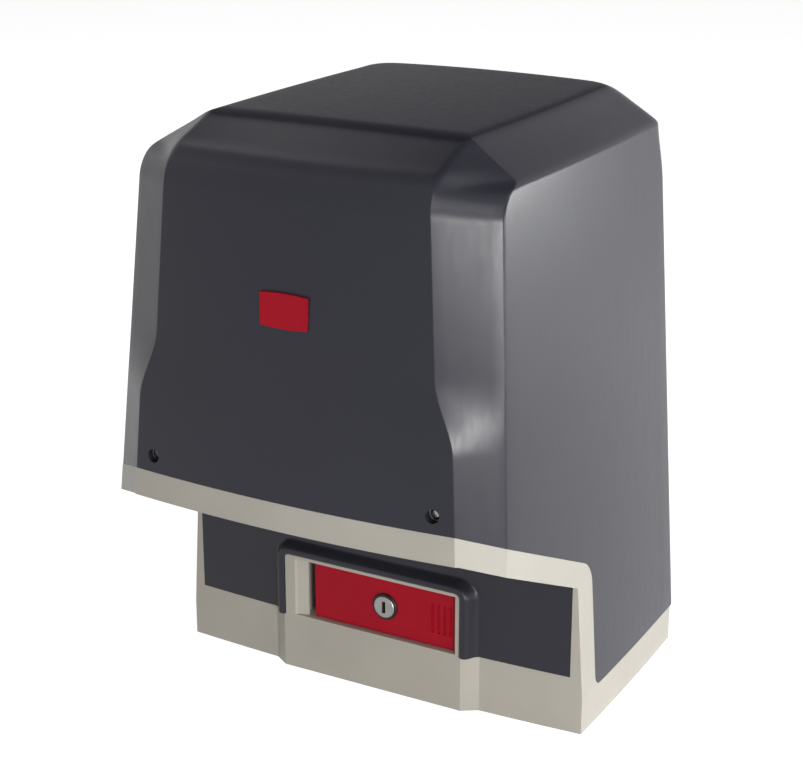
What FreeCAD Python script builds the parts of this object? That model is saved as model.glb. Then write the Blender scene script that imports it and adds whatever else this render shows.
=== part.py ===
"""Sliding gate motor: a hollow base with an overhanging front tray, a lift-off cover, a worm gearmotor
with a rack pinion at the back, a keyed release door at the front and the control electronics inside.

Millimetres, +Z up, front towards -Y. The origin is the middle of the base's underside.
"""
import FreeCAD, Part
import math
import os

V = FreeCAD.Vector

# ---------------------------------------------------------------- driving dimensions
# housing form
BASE_W = 250.0            # width over the side walls at the ground, at the corners
BASE_D = 140.0            # depth of the foot
HEIGHT = 333.0            # ground to the crown of the cover
OVERHANG = 91.0           # how far the front panel's foot stands ahead of the foot's front corners
COVER_FOOT_Z = 21.0       # lower edge of the cover at the sides and the back
PANEL_FOOT_Z = 144.3      # lower edge of the cover at the front
BAND_H = 15.2             # height of the tray's rim below the cover
SIDE_BOW = 2.5            # how far the side walls bulge in plan
FRONT_BOW = 4.5           # how far the foot's front bulges in plan
PANEL_BOW = 5.5           # how far the front panel bulges in plan
SIDE_LEAN = 3.8           # degrees, side walls above the cover's lower edge
PANEL_LEAN = 3.2          # degrees, front panel
CORNER_LEAN = 4.5         # degrees, front edge of the side walls
REAR_LEAN = 0.5           # degrees, back wall
CORNER_CUT = 15.5         # depth of the slanted front corners in plan
CORNER_R = 8.0            # rear vertical corners
PANEL_HALF_LOW = 96.0     # half width of the front panel at its foot
PANEL_HALF_HIGH = 82.0    # half width of the front panel above its waist
PANEL_TAPER = 0.065       # narrowing of the front panel per unit of height
WAIST_LOW = 184.0         # where the panel's edges start to draw in
WAIST_HIGH = 222.0        # where they are straight again
ROOF_DROP = 20.5          # height of the slanted faces beside the roof
ROOF_CROWN = 1.8          # rise of the roof at its middle
ROOF_FRONT = 110.0        # how far the roof reaches forward of the origin
BROW_SLOPE = 24.0         # degrees, slanted face between roof and front panel
BROW_R = 25.0             # rounding between that face and the front panel
SIDE_TOP_R = 17.0         # rounding of the side walls' upper front corner
TRAY_SLOPE = 25.2         # degrees, underside and rim of the tray
STRAP_W = 18.0            # width of the base's upright strap at its front corners, seen from the side
STRAP_R = 16.0            # bend of the rim into that strap
STRAP_FOOT_R = 6.0        # bend from the strap to the lower edge

# walls and fits
COVER_WALL = 3.0
BASE_WALL = 5.5
FLOOR_T = 6.0
TRAY_T = 4.0
LIP_H = 5.0               # lip of the base that centres the cover
LIP_GAP = 0.4             # between that lip and the cover
FIT = 0.3                 # clearance between separate pieces that move
RUN = 0.05                # radial running clearance of shafts and pins

# ground fixing and cable entry
SLOT_DX = 200.0           # spacing of the ground slots, left to right
SLOT_DY = 90.0            # spacing of the ground slots, front to back
SLOT_W = 9.0
SLOT_L = 22.0
CABLE_X = -30.0           # middle of the cable entry
CABLE_W = 50.0
CABLE_FRONT = 6.5         # floor between the foot's front wall and the grommet
CABLE_BACK = 2.7          # floor between the grommet and the gearbox's lugs
GROMMET_LIP = 3.0

# front insert and release pod
INSERT_HALF = 120.0       # half width of the dark front panel of the foot
INSERT_Z = 33.0           # its lower edge
INSERT_T = 3.0
POD_HALF = 57.5           # half width of the pod's flat front
POD_FLARE = 9.0           # width of the pod's slanted sides
POD_DEPTH = 9.0           # how far the pod stands ahead of the foot's front corners
POD_TOP = 71.0            # top of the pale frame round the door
HOOD_T = 5.0              # thickness of the dark hood round the pod
HOOD_REACH = 3.0          # how far the hood stands ahead of the pod
HOOD_R = 9.0              # rounding of the hood's upper corners
DOOR_LEFT = -38.0
DOOR_RIGHT = 53.4
DOOR_LOW = 34.7
DOOR_HIGH = 68.3
DOOR_T = 3.0
DOOR_SET = 3.0            # how far the door's face lies behind the pod's
DOOR_GAP = 0.7            # gap round the door
DOOR_SWING_ROOM = 12.0    # room in the frame to the left of the door
POCKET_D = 22.0           # depth of the pocket behind the door
HINGE_IN = 6.5            # hinge pin behind the door's face
HINGE_PIN_R = 1.6
LOCK_X = 8.2
LOCK_R = 7.0
LOCK_L = 16.0
PLUG_R = 5.2
CRANK = 8.0               # crank on the door's hinge, which sets the stroke of the clutch
CRANK_PIN_R = 1.5

# gear train
SHAFT_Z = 88.0            # height of the output shaft
SHAFT_R = 12.0
WHEEL_MODULE = 2.0
WHEEL_TEETH = 30
WHEEL_W = 14.0
WHEEL_BACKSET = 55.0      # middle of the worm wheel ahead of the foot's back
WORM_R = 10.0             # pitch radius of the worm
WORM_L = 40.0
PINION_MODULE = 4.0
PINION_TEETH = 18
PINION_W = 30.0
BACKLASH = 0.35
CASING_WALL = 6.0
GEAR_ROOM = 3.0           # between the wheel's teeth and the casing
CASING_FOOT = 12.0        # underside of the casing's feet above the ground
LUG_W = 16.0
DOG_R = 24.0
DOG_L = 12.0
DOG_DEPTH = 4.0
FORK_T = 4.0
FORK_R = 27.0
ROD_R = 4.0
BEARING_W = 11.0
BEARING_R = 21.0
WORM_BEARING_R = 14.0
WORM_BEARING_W = 9.0
BOSS_R = 26.0
SEAL_W = 7.0
KEY_W = 6.0
PINION_BOLT_R = 4.0
WORM_SHAFT_R = 7.0
BOLT_R = 3.0

# motor
MOTOR_R = 45.0
MOTOR_L = 112.0
MOTOR_WALL = 3.0
FLANGE_T = 6.0
ROTOR_R = 27.0
ROTOR_L = 70.0
STATOR_T = 13.0
ENCODER_R = 20.0
END_BELL_T = 8.0

# electronics
SHELF_T = 3.0
SHELF_Z = 140.0
CORE_R = 38.0             # ring core of the transformer
CORE_H = 46.0
BOARD_W = 150.0
BOARD_H = 118.0
BOARD_T = 1.6
BOARD_Z = 156.0           # lower edge of the control board
BOARD_BACKSET = 45.0      # back of the control board behind the front panel's edge
BUTTON_R = 3.0
BUTTON_TRAVEL = 1.5

SCREW_X = 84.0            # cover screws
SCREW_Z = 153.4
SCREW_R = 2.0
SCREW_HEAD_R = 3.6
SCREW_BOSS_R = 5.6        # bosses of the cover round its screws
LUG_HALF = 6.0
LUG_T = 4.0
LUG_GAP = 1.5
CAM_T = 2.0
CAM_REACH = 12.0          # reach of the lock's cam from its axis
CAM_HOLD = 3.0            # how far the cam turns behind the keeper
KEEPER_T = 2.5

# rear plate and limit switch
PLATE_HALF = 46.0         # half width of the arch in the cover's back
PLATE_TOP = 196.0
PLATE_T = 4.0
LIMIT_Z = 158.0
LIMIT_PIN_R = 4.0
LIMIT_ARM = 34.0
LIMIT_BODY_D = 11.5

# cover's trim
BADGE_W = 27.5
BADGE_H = 18.5
BADGE_Z = 245.7
BADGE_GAP = 0.2
BADGE_PROUD = 1.4
CUP_D = 2.2               # depth of the cups round the cover screws

# ---------------------------------------------------------------- derived places
FRONT_Y = -BASE_D / 2
REAR_Y = BASE_D / 2
PANEL_Y = FRONT_Y - OVERHANG              # edge of the front panel at its foot
SIDE_TOP = HEIGHT - ROOF_DROP
POD_Y = FRONT_Y - POD_DEPTH
TRAY_RISE = math.tan(math.radians(TRAY_SLOPE))
FAR = 2 * HEIGHT                          # well outside the object


# ---------------------------------------------------------------- solid helpers
def block(x0, x1, y0, y1, z0, z1):
    return Part.makeBox(x1 - x0, y1 - y0, z1 - z0, V(x0, y0, z0))


def post(x, y, z0, z1, r):
    return Part.makeCylinder(r, z1 - z0, V(x, y, z0), V(0, 0, 1))


def pin_y(x, z, y0, y1, r):
    return Part.makeCylinder(r, y1 - y0, V(x, y0, z), V(0, 1, 0))


def ring_y(x, z, y0, y1, outer, inner):
    return pin_y(x, z, y0, y1, outer).cut(pin_y(x, z, y0, y1, inner))


def ring_z(x, y, z0, z1, outer, inner):
    return post(x, y, z0, z1, outer).cut(post(x, y, z0, z1, inner))


def prism(points, along):
    """A polygon of 3-D points, extruded by the vector along."""
    return Part.Face(Part.makePolygon(points + [points[0]])).extrude(along)


def prism_x(yz, x0, x1):
    return prism([V(x0, y, z) for y, z in yz], V(x1 - x0, 0, 0))


def prism_y(xz, y0, y1):
    return prism([V(x, y0, z) for x, z in xz], V(0, y1 - y0, 0))


def prism_z(xy, z0, z1):
    return prism([V(x, y, z0) for x, y in xy], V(0, 0, z1 - z0))


def fillet(solid, radius, chosen):
    """Round the edges that chosen(edge) picks."""
    edges = [e for e in solid.Edges if chosen(e)]
    return solid.makeFillet(radius, edges)


def chamfer(solid, size, chosen):
    """Bevel the edges that chosen(edge) picks."""
    return solid.makeChamfer(size, [e for e in solid.Edges if chosen(e)])


def upright(edge):
    a, b = edge.Vertexes[0].Point, edge.Vertexes[-1].Point
    return abs(a.z - b.z) > 1 and abs(a.x - b.x) < 1e-6 and abs(a.y - b.y) < 1e-6


def join(solids):
    return solids[0].fuse(solids[1:]).removeSplitter() if len(solids) > 1 else solids[0]


def group(solids):
    return Part.makeCompound(solids)


def turned(shape, axis_point, axis, degrees):
    copy = shape.copy()
    copy.rotate(axis_point, axis, degrees)
    return copy


# ---------------------------------------------------------------- form of the housing
def blend(value, low, high):
    """0 below low, 1 above high, smooth in between."""
    t = min(max((value - low) / (high - low), 0.0), 1.0)
    return t * t * (3 - 2 * t)


def side_half(z):
    """Half width over the side walls at their corners."""
    wall_z = min(max(z, COVER_FOOT_Z), SIDE_TOP)
    half = BASE_W / 2 - (wall_z - COVER_FOOT_Z) * math.tan(math.radians(SIDE_LEAN))
    if z > SIDE_TOP:
        roof_half = panel_half(HEIGHT) + 1.0
        half += (roof_half - half) * (z - SIDE_TOP) / (HEIGHT - SIDE_TOP)
    return half


def panel_half(z):
    """Half width of the front panel: straight, drawn in at the waist, straight again."""
    low = PANEL_HALF_LOW - (z - PANEL_FOOT_Z) * PANEL_TAPER
    high = PANEL_HALF_HIGH - (z - WAIST_HIGH) * PANEL_TAPER
    share = blend(z, WAIST_LOW, WAIST_HIGH)
    return low + (high - low) * share


def panel_line(z):
    """Side view of the front panel, its rounded brow and the slanted face up to the roof."""
    lean = math.tan(math.radians(PANEL_LEAN))
    slope = math.tan(math.radians(BROW_SLOPE))
    a = PANEL_Y - PANEL_FOOT_Z * lean + BROW_R * math.hypot(1, lean)
    b = HEIGHT + ROOF_FRONT * slope - BROW_R * math.hypot(1, slope)
    centre_y = (a + lean * b) / (1 - lean * slope)
    centre_z = b + slope * centre_y
    low = centre_z + BROW_R * lean / math.hypot(1, lean)
    high = centre_z + BROW_R / math.hypot(1, slope)
    if z < low:
        return PANEL_Y + (z - PANEL_FOOT_Z) * lean
    if z < high:
        return centre_y - math.sqrt(BROW_R ** 2 - (z - centre_z) ** 2)
    return -ROOF_FRONT - (HEIGHT - z) / slope


def corner_line(z):
    """Side view of the side wall's front edge, its rounded top and the run up to the roof."""
    lean = math.tan(math.radians(CORNER_LEAN))
    start = SIDE_TOP - SIDE_TOP_R
    foot = PANEL_Y + CORNER_CUT
    if z < start:
        return foot + (z - PANEL_FOOT_Z) * lean
    centre = foot + (start - PANEL_FOOT_Z) * lean + SIDE_TOP_R
    if z < SIDE_TOP:
        return centre - math.sqrt(SIDE_TOP_R ** 2 - (z - start) ** 2)
    return centre + (-ROOF_FRONT - centre) * (z - SIDE_TOP) / (HEIGHT - SIDE_TOP)


def rear_line(z):
    return REAR_Y - max(z - COVER_FOOT_Z, 0) * math.tan(math.radians(REAR_LEAN))


def form_section(z, wall=0.0):
    """Outline of the housing at height z, or of the space inside a wall of that thickness."""
    top = SIDE_TOP - SIDE_TOP_R
    level = min(z + wall * blend(z, COVER_FOOT_Z, top), HEIGHT)
    inset = wall * (1 - 0.65 * blend(level, top, SIDE_TOP))
    half, panel = side_half(level), panel_half(level)
    front, corner, rear = panel_line(level), corner_line(level), rear_line(level) - wall
    slant = math.atan2(corner - front, half - panel)
    half_in, corner_in = half - inset, corner + inset * math.tan(math.pi / 4 - slant / 2)
    panel_in, front_in = panel - inset * math.tan(slant / 2), front + inset
    turn = max(CORNER_R - wall, 1.0)
    low_y = rear - turn
    bow = SIDE_BOW * (low_y - corner_in) / (BASE_D + OVERHANG)
    mid_y = (low_y + corner_in) / 2
    diag = turn * (1 - math.sqrt(0.5))

    def p(x, y):
        return V(x, y, z)

    edges = [
        Part.LineSegment(p(-half_in + turn, rear), p(half_in - turn, rear)),
        Part.Arc(p(half_in - turn, rear), p(half_in - diag, rear - diag), p(half_in, low_y)),
        Part.Arc(p(half_in, low_y), p(half_in + bow, mid_y), p(half_in, corner_in)),
        Part.LineSegment(p(half_in, corner_in), p(panel_in, front_in)),
        Part.Arc(p(panel_in, front_in), p(0, front_in - PANEL_BOW), p(-panel_in, front_in)),
        Part.LineSegment(p(-panel_in, front_in), p(-half_in, corner_in)),
        Part.Arc(p(-half_in, corner_in), p(-half_in - bow, mid_y), p(-half_in, low_y)),
        Part.Arc(p(-half_in, low_y), p(-half_in + diag, rear - diag), p(-half_in + turn, rear)),
    ]
    return Part.Wire([edge.toShape() for edge in edges])


def form(low, high, wall=0.0):
    """The housing's form between two heights, closely stepped where its outline turns."""
    waist = [WAIST_LOW + (WAIST_HIGH - WAIST_LOW) * i / 6 for i in range(7)]
    crown = SIDE_TOP - SIDE_TOP_R
    arc = [crown + SIDE_TOP_R * math.sin(math.pi / 2 * i / 5) for i in range(6)]
    brow = [SIDE_TOP + ROOF_DROP * i / 4 for i in range(1, 4)]
    steps = [COVER_FOOT_Z, PANEL_FOOT_Z] + waist + arc + brow
    shifted = [z - wall for z in steps]
    inside = [z for z in shifted if low + 1 < z < high - 1]
    return Part.makeLoft([form_section(z, wall) for z in [low] + inside + [high]], True, True)


def under_rim(lift=0.0):
    """Everything below the joint between cover and base, with its rounded bends, raised by lift."""
    strap_y = FRONT_Y + STRAP_W
    knee = PANEL_FOOT_Z - (strap_y - PANEL_Y) * TRAY_RISE
    side_view = [(-FAR, -FAR), (-FAR, PANEL_FOOT_Z), (PANEL_Y, PANEL_FOOT_Z), (strap_y, knee),
                 (strap_y, COVER_FOOT_Z), (FAR, COVER_FOOT_Z), (FAR, -FAR)]
    solid = prism_x(side_view, -FAR, FAR)
    for radius, z in ((STRAP_R, knee), (STRAP_FOOT_R, COVER_FOOT_Z)):
        solid = fillet(solid, radius, lambda e: abs(e.CenterOfMass.y - strap_y) < 1e-3
                       and abs(e.CenterOfMass.z - z) < 1e-3 and e.Length > FAR)
    solid.translate(V(0, 0, lift))
    return solid


def roof_envelope():
    """Everything below the crowned roof."""
    half = BASE_W
    edge_z = HEIGHT - ROOF_CROWN * (half / PANEL_HALF_HIGH) ** 2
    arc = Part.Arc(V(-half, -BASE_W, edge_z), V(0, -BASE_W, HEIGHT), V(half, -BASE_W, edge_z))
    sides = Part.makePolygon([V(half, -BASE_W, edge_z), V(half, -BASE_W, -1),
                              V(-half, -BASE_W, -1), V(-half, -BASE_W, edge_z)])
    face = Part.Face(Part.Wire([arc.toShape()] + sides.Edges))
    return face.extrude(V(0, BASE_W + rear_line(HEIGHT), 0))


# ---------------------------------------------------------------- places tied to one another
TRAY_LOW = PANEL_FOOT_Z - BAND_H                      # underside of the tray at the front
FOOT_TOP = TRAY_LOW - OVERHANG * TRAY_RISE            # where the tray leaves the foot's front
INNER_Y = FRONT_Y + BASE_WALL                         # inside of the foot's front wall
DOOR_Y = POD_Y + DOOR_SET                             # face of the release door
HINGE_X = DOOR_LEFT + 2.0
HINGE_Y = DOOR_Y + HINGE_IN
LOCK_Z = (DOOR_LOW + DOOR_HIGH) / 2
POCKET_Y = POD_Y + POCKET_D                           # back of the pocket behind the door
POCKET_WALL = 2.5
STROKE = CRANK * math.sqrt(2)                         # travel of the rod over a quarter turn of the door
ROD_X = HINGE_X + CRANK                               # release rod, in line with the crank's end
ROD_Z = LOCK_Z
WHEEL_R = WHEEL_MODULE * WHEEL_TEETH / 2
PINION_R = PINION_MODULE * PINION_TEETH / 2
WORM_X = WHEEL_R + WORM_R                             # worm and motor axis
WHEEL_Y = REAR_Y - WHEEL_BACKSET
WORM_TIP = WORM_R + WHEEL_MODULE
WHEEL_ROOM = WHEEL_R + WHEEL_MODULE + GEAR_ROOM       # radius of the wheel's chamber
WHEEL_FRONT = WHEEL_Y - WHEEL_W / 2
WHEEL_BACK = WHEEL_Y + WHEEL_W / 2
CASING_X0 = -WHEEL_ROOM - CASING_WALL
CASING_X1 = WORM_X + WORM_BEARING_R + CASING_WALL
CASING_Z0 = ROD_Z - ROD_R - 3.5 - CASING_WALL
CASING_Z1 = SHAFT_Z + WHEEL_ROOM + CASING_WALL
CASING_Y0 = WHEEL_FRONT - DOG_L - STROKE - 4.0        # joint with the casing's lid
CASING_Y1 = WHEEL_BACK + 2.0 + CASING_WALL + 2.0
CABLE_Y0 = INNER_Y + CABLE_FRONT + GROMMET_LIP        # cable entry, from the front to the back
CABLE_Y1 = CASING_Y0 - CABLE_BACK - GROMMET_LIP
LID_T = 6.0
LID_BOSS = 7.0
BOSS_END = REAR_Y + 2.0                               # output boss, through the rear plate
PLATE_Y = REAR_Y - PLATE_T
FLANGE_Z = CASING_Z1 + FLANGE_T
MOTOR_TOP = FLANGE_Z + MOTOR_L
PINION_Y = BOSS_END + 3.0
CARRIER_T = 3.0
BOARD_Y = PANEL_Y + BOARD_BACKSET
CAM_Y = DOOR_Y + LOCK_L - CAM_T                       # front of the lock's cam
CARRIER_Y = BOARD_Y + 3.0                             # front of the board carrier, behind its standoffs


def tray_top(y):
    """Height of the tray's floor above the ground."""
    reach = min(max(FRONT_Y - y, 0), OVERHANG)
    return FOOT_TOP + TRAY_T + reach * TRAY_RISE


def bowed_plan(z0, z1, half, back, inset=0.0, pod=0.0):
    """Plan of the foot's front: bowed, with a pod standing ahead when pod is its half width."""
    def bow_y(x):
        return FRONT_Y - FRONT_BOW * (1 - (2 * x / BASE_W) ** 2) + inset

    def p(x, y):
        return V(x, y, z0)

    left, right = p(-half, bow_y(half)), p(half, bow_y(half))
    if pod:
        flare = pod + POD_FLARE
        mid = (half + flare) / 2
        front = [
            Part.Arc(right, p(mid, bow_y(mid)), p(flare, bow_y(flare))).toShape(),
            Part.makePolygon([p(flare, bow_y(flare)), p(pod, POD_Y),
                              p(-pod, POD_Y), p(-flare, bow_y(flare))]),
            Part.Arc(p(-flare, bow_y(flare)), p(-mid, bow_y(mid)), left).toShape(),
        ]
    else:
        front = [Part.Arc(right, p(0, bow_y(0)), left).toShape()]
    sides = Part.makePolygon([left, p(-half, back), p(half, back), right])
    edges = [e for piece in front for e in piece.Edges] + sides.Edges
    return Part.Face(Part.Wire(edges)).extrude(V(0, 0, z1 - z0))


def slot_z(x, y, z0, z1, length, width):
    """Upright slot with round ends, long side along X."""
    half = (length - width) / 2
    return join([block(x - half, x + half, y - width / 2, y + width / 2, z0, z1),
                 post(x - half, y, z0, z1, width / 2), post(x + half, y, z0, z1, width / 2)])


def lip():
    """Inner part of the base's wall, raised so that the cover slips over it."""
    core = form(0, PANEL_FOOT_Z + LIP_H, COVER_WALL + LIP_GAP).common(under_rim(LIP_H))
    reliefs = [pin_y(side * SCREW_X, SCREW_Z, PANEL_Y - FAR, FRONT_Y, SCREW_BOSS_R + LIP_GAP) for side in (-1, 1)]
    return core.cut(reliefs + [arch(LIP_GAP, REAR_Y - 2 * BASE_WALL, REAR_Y)])


def arch(gap, y0, y1):
    """Arched opening in the back, and with no gap the plate that fills it."""
    half = PLATE_HALF + gap
    centre = PLATE_TOP - PLATE_HALF
    return join([block(-half, half, y0, y1, COVER_FOOT_Z, centre), pin_y(0, centre, y0, y1, half)])


def base_inside():
    """The room inside the base, above its floor and its tray."""
    tray_in = TRAY_LOW + TRAY_T
    side_view = [(INNER_Y, FLOOR_T), (FAR, FLOOR_T), (FAR, FAR), (-FAR, FAR), (-FAR, tray_in),
                 (PANEL_Y, tray_in), (INNER_Y, tray_top(FRONT_Y))]
    return form(FLOOR_T, PANEL_FOOT_Z + 3 * LIP_H, BASE_WALL).common(prism_x(side_view, -FAR, FAR))


def pod_frame():
    """Pale frame round the release door, with the pocket behind it."""
    left, right = -POD_HALF + 1, POD_HALF - 0.5
    outer = block(left, right, POD_Y, POCKET_Y + POCKET_WALL, INSERT_Z - POCKET_WALL, POD_TOP)
    outer = fillet(outer, POCKET_WALL, lambda e: abs(e.CenterOfMass.z - POD_TOP) < 1e-3
                   and e.BoundBox.YLength > 1 and e.BoundBox.XLength < 1)
    low, high = DOOR_LOW - DOOR_GAP, DOOR_HIGH + DOOR_GAP
    swing = DOOR_LEFT - DOOR_SWING_ROOM
    plan = [(swing, POD_Y - 1), (swing, POD_Y), (swing + 4, DOOR_Y), (swing + 4, POCKET_Y),
            (DOOR_RIGHT + DOOR_GAP, POCKET_Y), (DOOR_RIGHT + DOOR_GAP, POD_Y - 1)]
    return outer, prism_z(plan, low, high)


def below_tray():
    """Everything below the plane of the tray's underside."""
    back_z = FOOT_TOP + FRONT_Y * TRAY_RISE
    side_view = [(-FAR, -1), (-FAR, TRAY_LOW), (PANEL_Y, TRAY_LOW), (0, back_z), (0, -1)]
    return prism_x(side_view, -FAR, FAR)


def insert_room():
    """Everything ahead of the foot's front wall, where the dark insert lies."""
    ahead = block(-INSERT_HALF, INSERT_HALF, -FAR, 0, INSERT_Z, FOOT_TOP + BAND_H)
    wall = bowed_plan(INSERT_Z - 1, FOOT_TOP + BAND_H + 1, BASE_W, 0, inset=INSERT_T)
    return ahead.cut(wall).common(below_tray())


def base_housing():
    outer = form(0, PANEL_FOOT_Z)
    ahead = below_tray().common(block(-FAR, FAR, -FAR, INNER_Y, -1, FAR))
    front = bowed_plan(0, INSERT_Z, BASE_W, 0, pod=POD_HALF)
    front = front.fuse(bowed_plan(INSERT_Z, FOOT_TOP + 2, BASE_W, 0))
    body = outer.cut(ahead).fuse(front.common(outer)).common(under_rim())
    body = body.cut(insert_room()).fuse(lip().cut(ahead)).cut(base_inside())
    outer, pocket = pod_frame()
    body = body.fuse(outer).cut(pocket)
    adds = [post(x, y, FLOOR_T, CASING_FOOT, LUG_W / 2) for x, y in casing_bolts()]
    adds += [post(x, CARRIER_Y + CARRIER_T / 2, tray_top(CARRIER_Y) - TRAY_T / 2, leg_foot(), 6.0)
             for x in carrier_legs()]
    adds += [screw_lug(side) for side in (-1, 1)]
    adds.append(keeper())
    body = body.fuse(adds)
    cuts = [slot_z(sx * SLOT_DX / 2, sy * SLOT_DY / 2, -1, FLOOR_T + 1, SLOT_L, SLOT_W)
            for sx in (-1, 1) for sy in (-1, 1)]
    cuts.append(block(CABLE_X - CABLE_W / 2, CABLE_X + CABLE_W / 2, CABLE_Y0, CABLE_Y1, -1, FLOOR_T + 1))
    cuts += [post(x, y, -1, CASING_FOOT + 1, BOLT_R) for x, y in casing_bolts()]
    cuts.append(pin_y(ROD_X, ROD_Z, POCKET_Y - 1, POCKET_Y + POCKET_WALL + 1, ROD_R + FIT))
    cuts.append(post(HINGE_X, HINGE_Y, DOOR_LOW - DOOR_GAP - POCKET_WALL / 2,
                     DOOR_HIGH + DOOR_GAP + POCKET_WALL / 2, HINGE_PIN_R))
    return body.cut(cuts).removeSplitter()


def casing_bolts():
    """Places of the four bolts that hold the gearbox down."""
    lug = LUG_W / 2
    xs = (CASING_X0 - lug, CASING_X1 + lug)
    ys = (CASING_Y0 + lug, CASING_Y1 - lug)
    return [(x, y) for x in xs for y in ys]


def carrier_legs():
    return [-BOARD_W * 0.4, BOARD_W * 0.4]


def leg_foot():
    """Top of the tray's bosses under the board carrier."""
    return tray_top(CARRIER_Y) + 8.0


def panel_y(x, z):
    """Outer face of the front panel."""
    return panel_line(z) - PANEL_BOW * (1 - (x / panel_half(z)) ** 2)


def screw_lug(side):
    """Upright lug of the tray with an open slot for a cover screw."""
    x = side * SCREW_X
    y = panel_y(SCREW_X, SCREW_Z) + COVER_WALL + LUG_GAP
    lug = block(x - LUG_HALF, x + LUG_HALF, y, y + LUG_T, TRAY_LOW + TRAY_T / 2, SCREW_Z + LUG_HALF)
    slot = block(x - SCREW_R - FIT, x + SCREW_R + FIT, y - 1, y + LUG_T + 1, SCREW_Z, SCREW_Z + 2 * LUG_HALF)
    return lug.cut([slot, pin_y(x, SCREW_Z, y - 1, y + LUG_T + 1, SCREW_R + FIT)])


def keeper():
    """Rib on the pocket's ceiling that the lock's cam turns behind."""
    top = DOOR_HIGH + DOOR_GAP
    tip = LOCK_Z + CAM_REACH - CAM_HOLD
    return block(LOCK_X - PLUG_R, LOCK_X + PLUG_R, CAM_Y - FIT - KEEPER_T, CAM_Y - FIT, tip, top + 1)


# ---------------------------------------------------------------- front insert and release door
def front_insert():
    """Dark bowed panel in the foot's front, raised into a hood round the release pod."""
    panel = insert_room().common(bowed_plan(INSERT_Z - 1, FAR, BASE_W, 0))
    flank = bowed_plan(INSERT_Z, POD_TOP + HOOD_T, INSERT_HALF, 0, pod=POD_HALF)
    flank = flank.cut(bowed_plan(INSERT_Z - 1, POD_TOP + HOOD_T + 1, BASE_W, 0, inset=INSERT_T))
    flank = flank.common(block(-POD_HALF - POD_FLARE, POD_HALF + POD_FLARE, -FAR, 0, INSERT_Z, FAR))
    ridge_y, ridge_z = POD_Y - HOOD_REACH, POD_TOP + HOOD_T
    brow = prism_x([(FRONT_Y, POD_TOP), (POD_Y, POD_TOP), (ridge_y, ridge_z - 1.5), (ridge_y, ridge_z),
                    (FRONT_Y - FRONT_BOW, ridge_z + 5), (FRONT_Y, ridge_z + 5)],
                   -POD_HALF - 1, POD_HALF + 1)
    brow = brow.cut(bowed_plan(INSERT_Z, FAR, BASE_W, 0, inset=INSERT_T))
    solid = panel.fuse([flank, brow]).common(below_tray())
    window = block(-POD_HALF + 1, POD_HALF - 0.5, -FAR, 0, INSERT_Z - 1, POD_TOP)
    return solid.cut(window).removeSplitter()


def hinge_pin():
    reach = POCKET_WALL / 2
    return post(HINGE_X, HINGE_Y, DOOR_LOW - DOOR_GAP - reach, DOOR_HIGH + DOOR_GAP + reach, HINGE_PIN_R)


def release_door():
    """Ribbed leaf with two knuckles, a crank for the release rod and the lock's seat."""
    back = DOOR_Y + DOOR_T
    leaf = block(DOOR_LEFT, DOOR_RIGHT, DOOR_Y, back, DOOR_LOW, DOOR_HIGH)
    leaf = fillet(leaf, 1.5, lambda e: abs(e.CenterOfMass.x - DOOR_RIGHT) < 1e-3 and e.BoundBox.YLength > 1)
    knuckle_r = HINGE_IN - DOOR_T
    band = (DOOR_HIGH - DOOR_LOW) / 6
    parts = [leaf]
    for z0, z1 in ((DOOR_LOW + 1, DOOR_LOW + 2.3 * band), (DOOR_HIGH - band, DOOR_HIGH - 1)):
        parts.append(post(HINGE_X, HINGE_Y, z0, z1, knuckle_r - FIT))
        parts.append(block(DOOR_LEFT + 0.5, HINGE_X + knuckle_r - FIT, back - 1, HINGE_Y, z0, z1))
    arm_top = DOOR_LOW + 2.3 * band
    arm = block(0, CRANK, -2.5, 2.5, arm_top - 3.5, arm_top).fuse(post(CRANK, 0, arm_top - 3.5, arm_top, 2.5))
    arm = arm.fuse(post(CRANK, 0, arm_top - 1, ROD_Z + ROD_R, CRANK_PIN_R))
    arm = turned(arm, V(0, 0, 0), V(0, 0, 1), 45)
    arm.translate(V(HINGE_X, HINGE_Y, 0))
    parts.append(arm)
    rim = DOOR_T + 3.0
    for z0, z1 in ((DOOR_LOW, DOOR_LOW + 1.6), (DOOR_HIGH - 1.6, DOOR_HIGH)):
        parts.append(block(DOOR_LEFT + 20, DOOR_RIGHT - 1.5, back - 1, DOOR_Y + rim, z0, z1))
    parts.append(block(DOOR_RIGHT - 3.1, DOOR_RIGHT - 1.5, back - 1, DOOR_Y + rim, DOOR_LOW, DOOR_HIGH))
    parts.append(pin_y(LOCK_X, LOCK_Z, back - 1, DOOR_Y + rim, LOCK_R + 2.5))
    solid = join(parts)
    grips = [block(x - 0.8, x + 0.8, DOOR_Y - 1, DOOR_Y + 0.8, LOCK_Z - 9, LOCK_Z + 9)
             for x in [DOOR_RIGHT - 15 + 3.8 * i for i in range(4)]]
    bores = [post(HINGE_X, HINGE_Y, 0, FAR, HINGE_PIN_R + RUN),
             pin_y(LOCK_X, LOCK_Z, DOOR_Y - 1, back + FAR, LOCK_R)]
    return solid.cut(grips + bores)


def lock_barrel():
    front = DOOR_Y - 1.2
    barrel = pin_y(LOCK_X, LOCK_Z, front + 1, CAM_Y - FIT, LOCK_R)
    flange = pin_y(LOCK_X, LOCK_Z, front, DOOR_Y, LOCK_R + 0.8)
    flange = chamfer(flange, 0.4, lambda e: abs(e.CenterOfMass.y - front) < 1e-3)
    return barrel.fuse(flange).removeSplitter().cut(pin_y(LOCK_X, LOCK_Z, front - 1, CAM_Y, PLUG_R + RUN))


def lock_plug():
    face = DOOR_Y - 1.0
    plug = pin_y(LOCK_X, LOCK_Z, face, CAM_Y, PLUG_R)
    keyway = block(LOCK_X - 0.9, LOCK_X + 0.9, face - 1, face + 9, LOCK_Z - 3.4, LOCK_Z + 3.4)
    return plug.cut(keyway)


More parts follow.
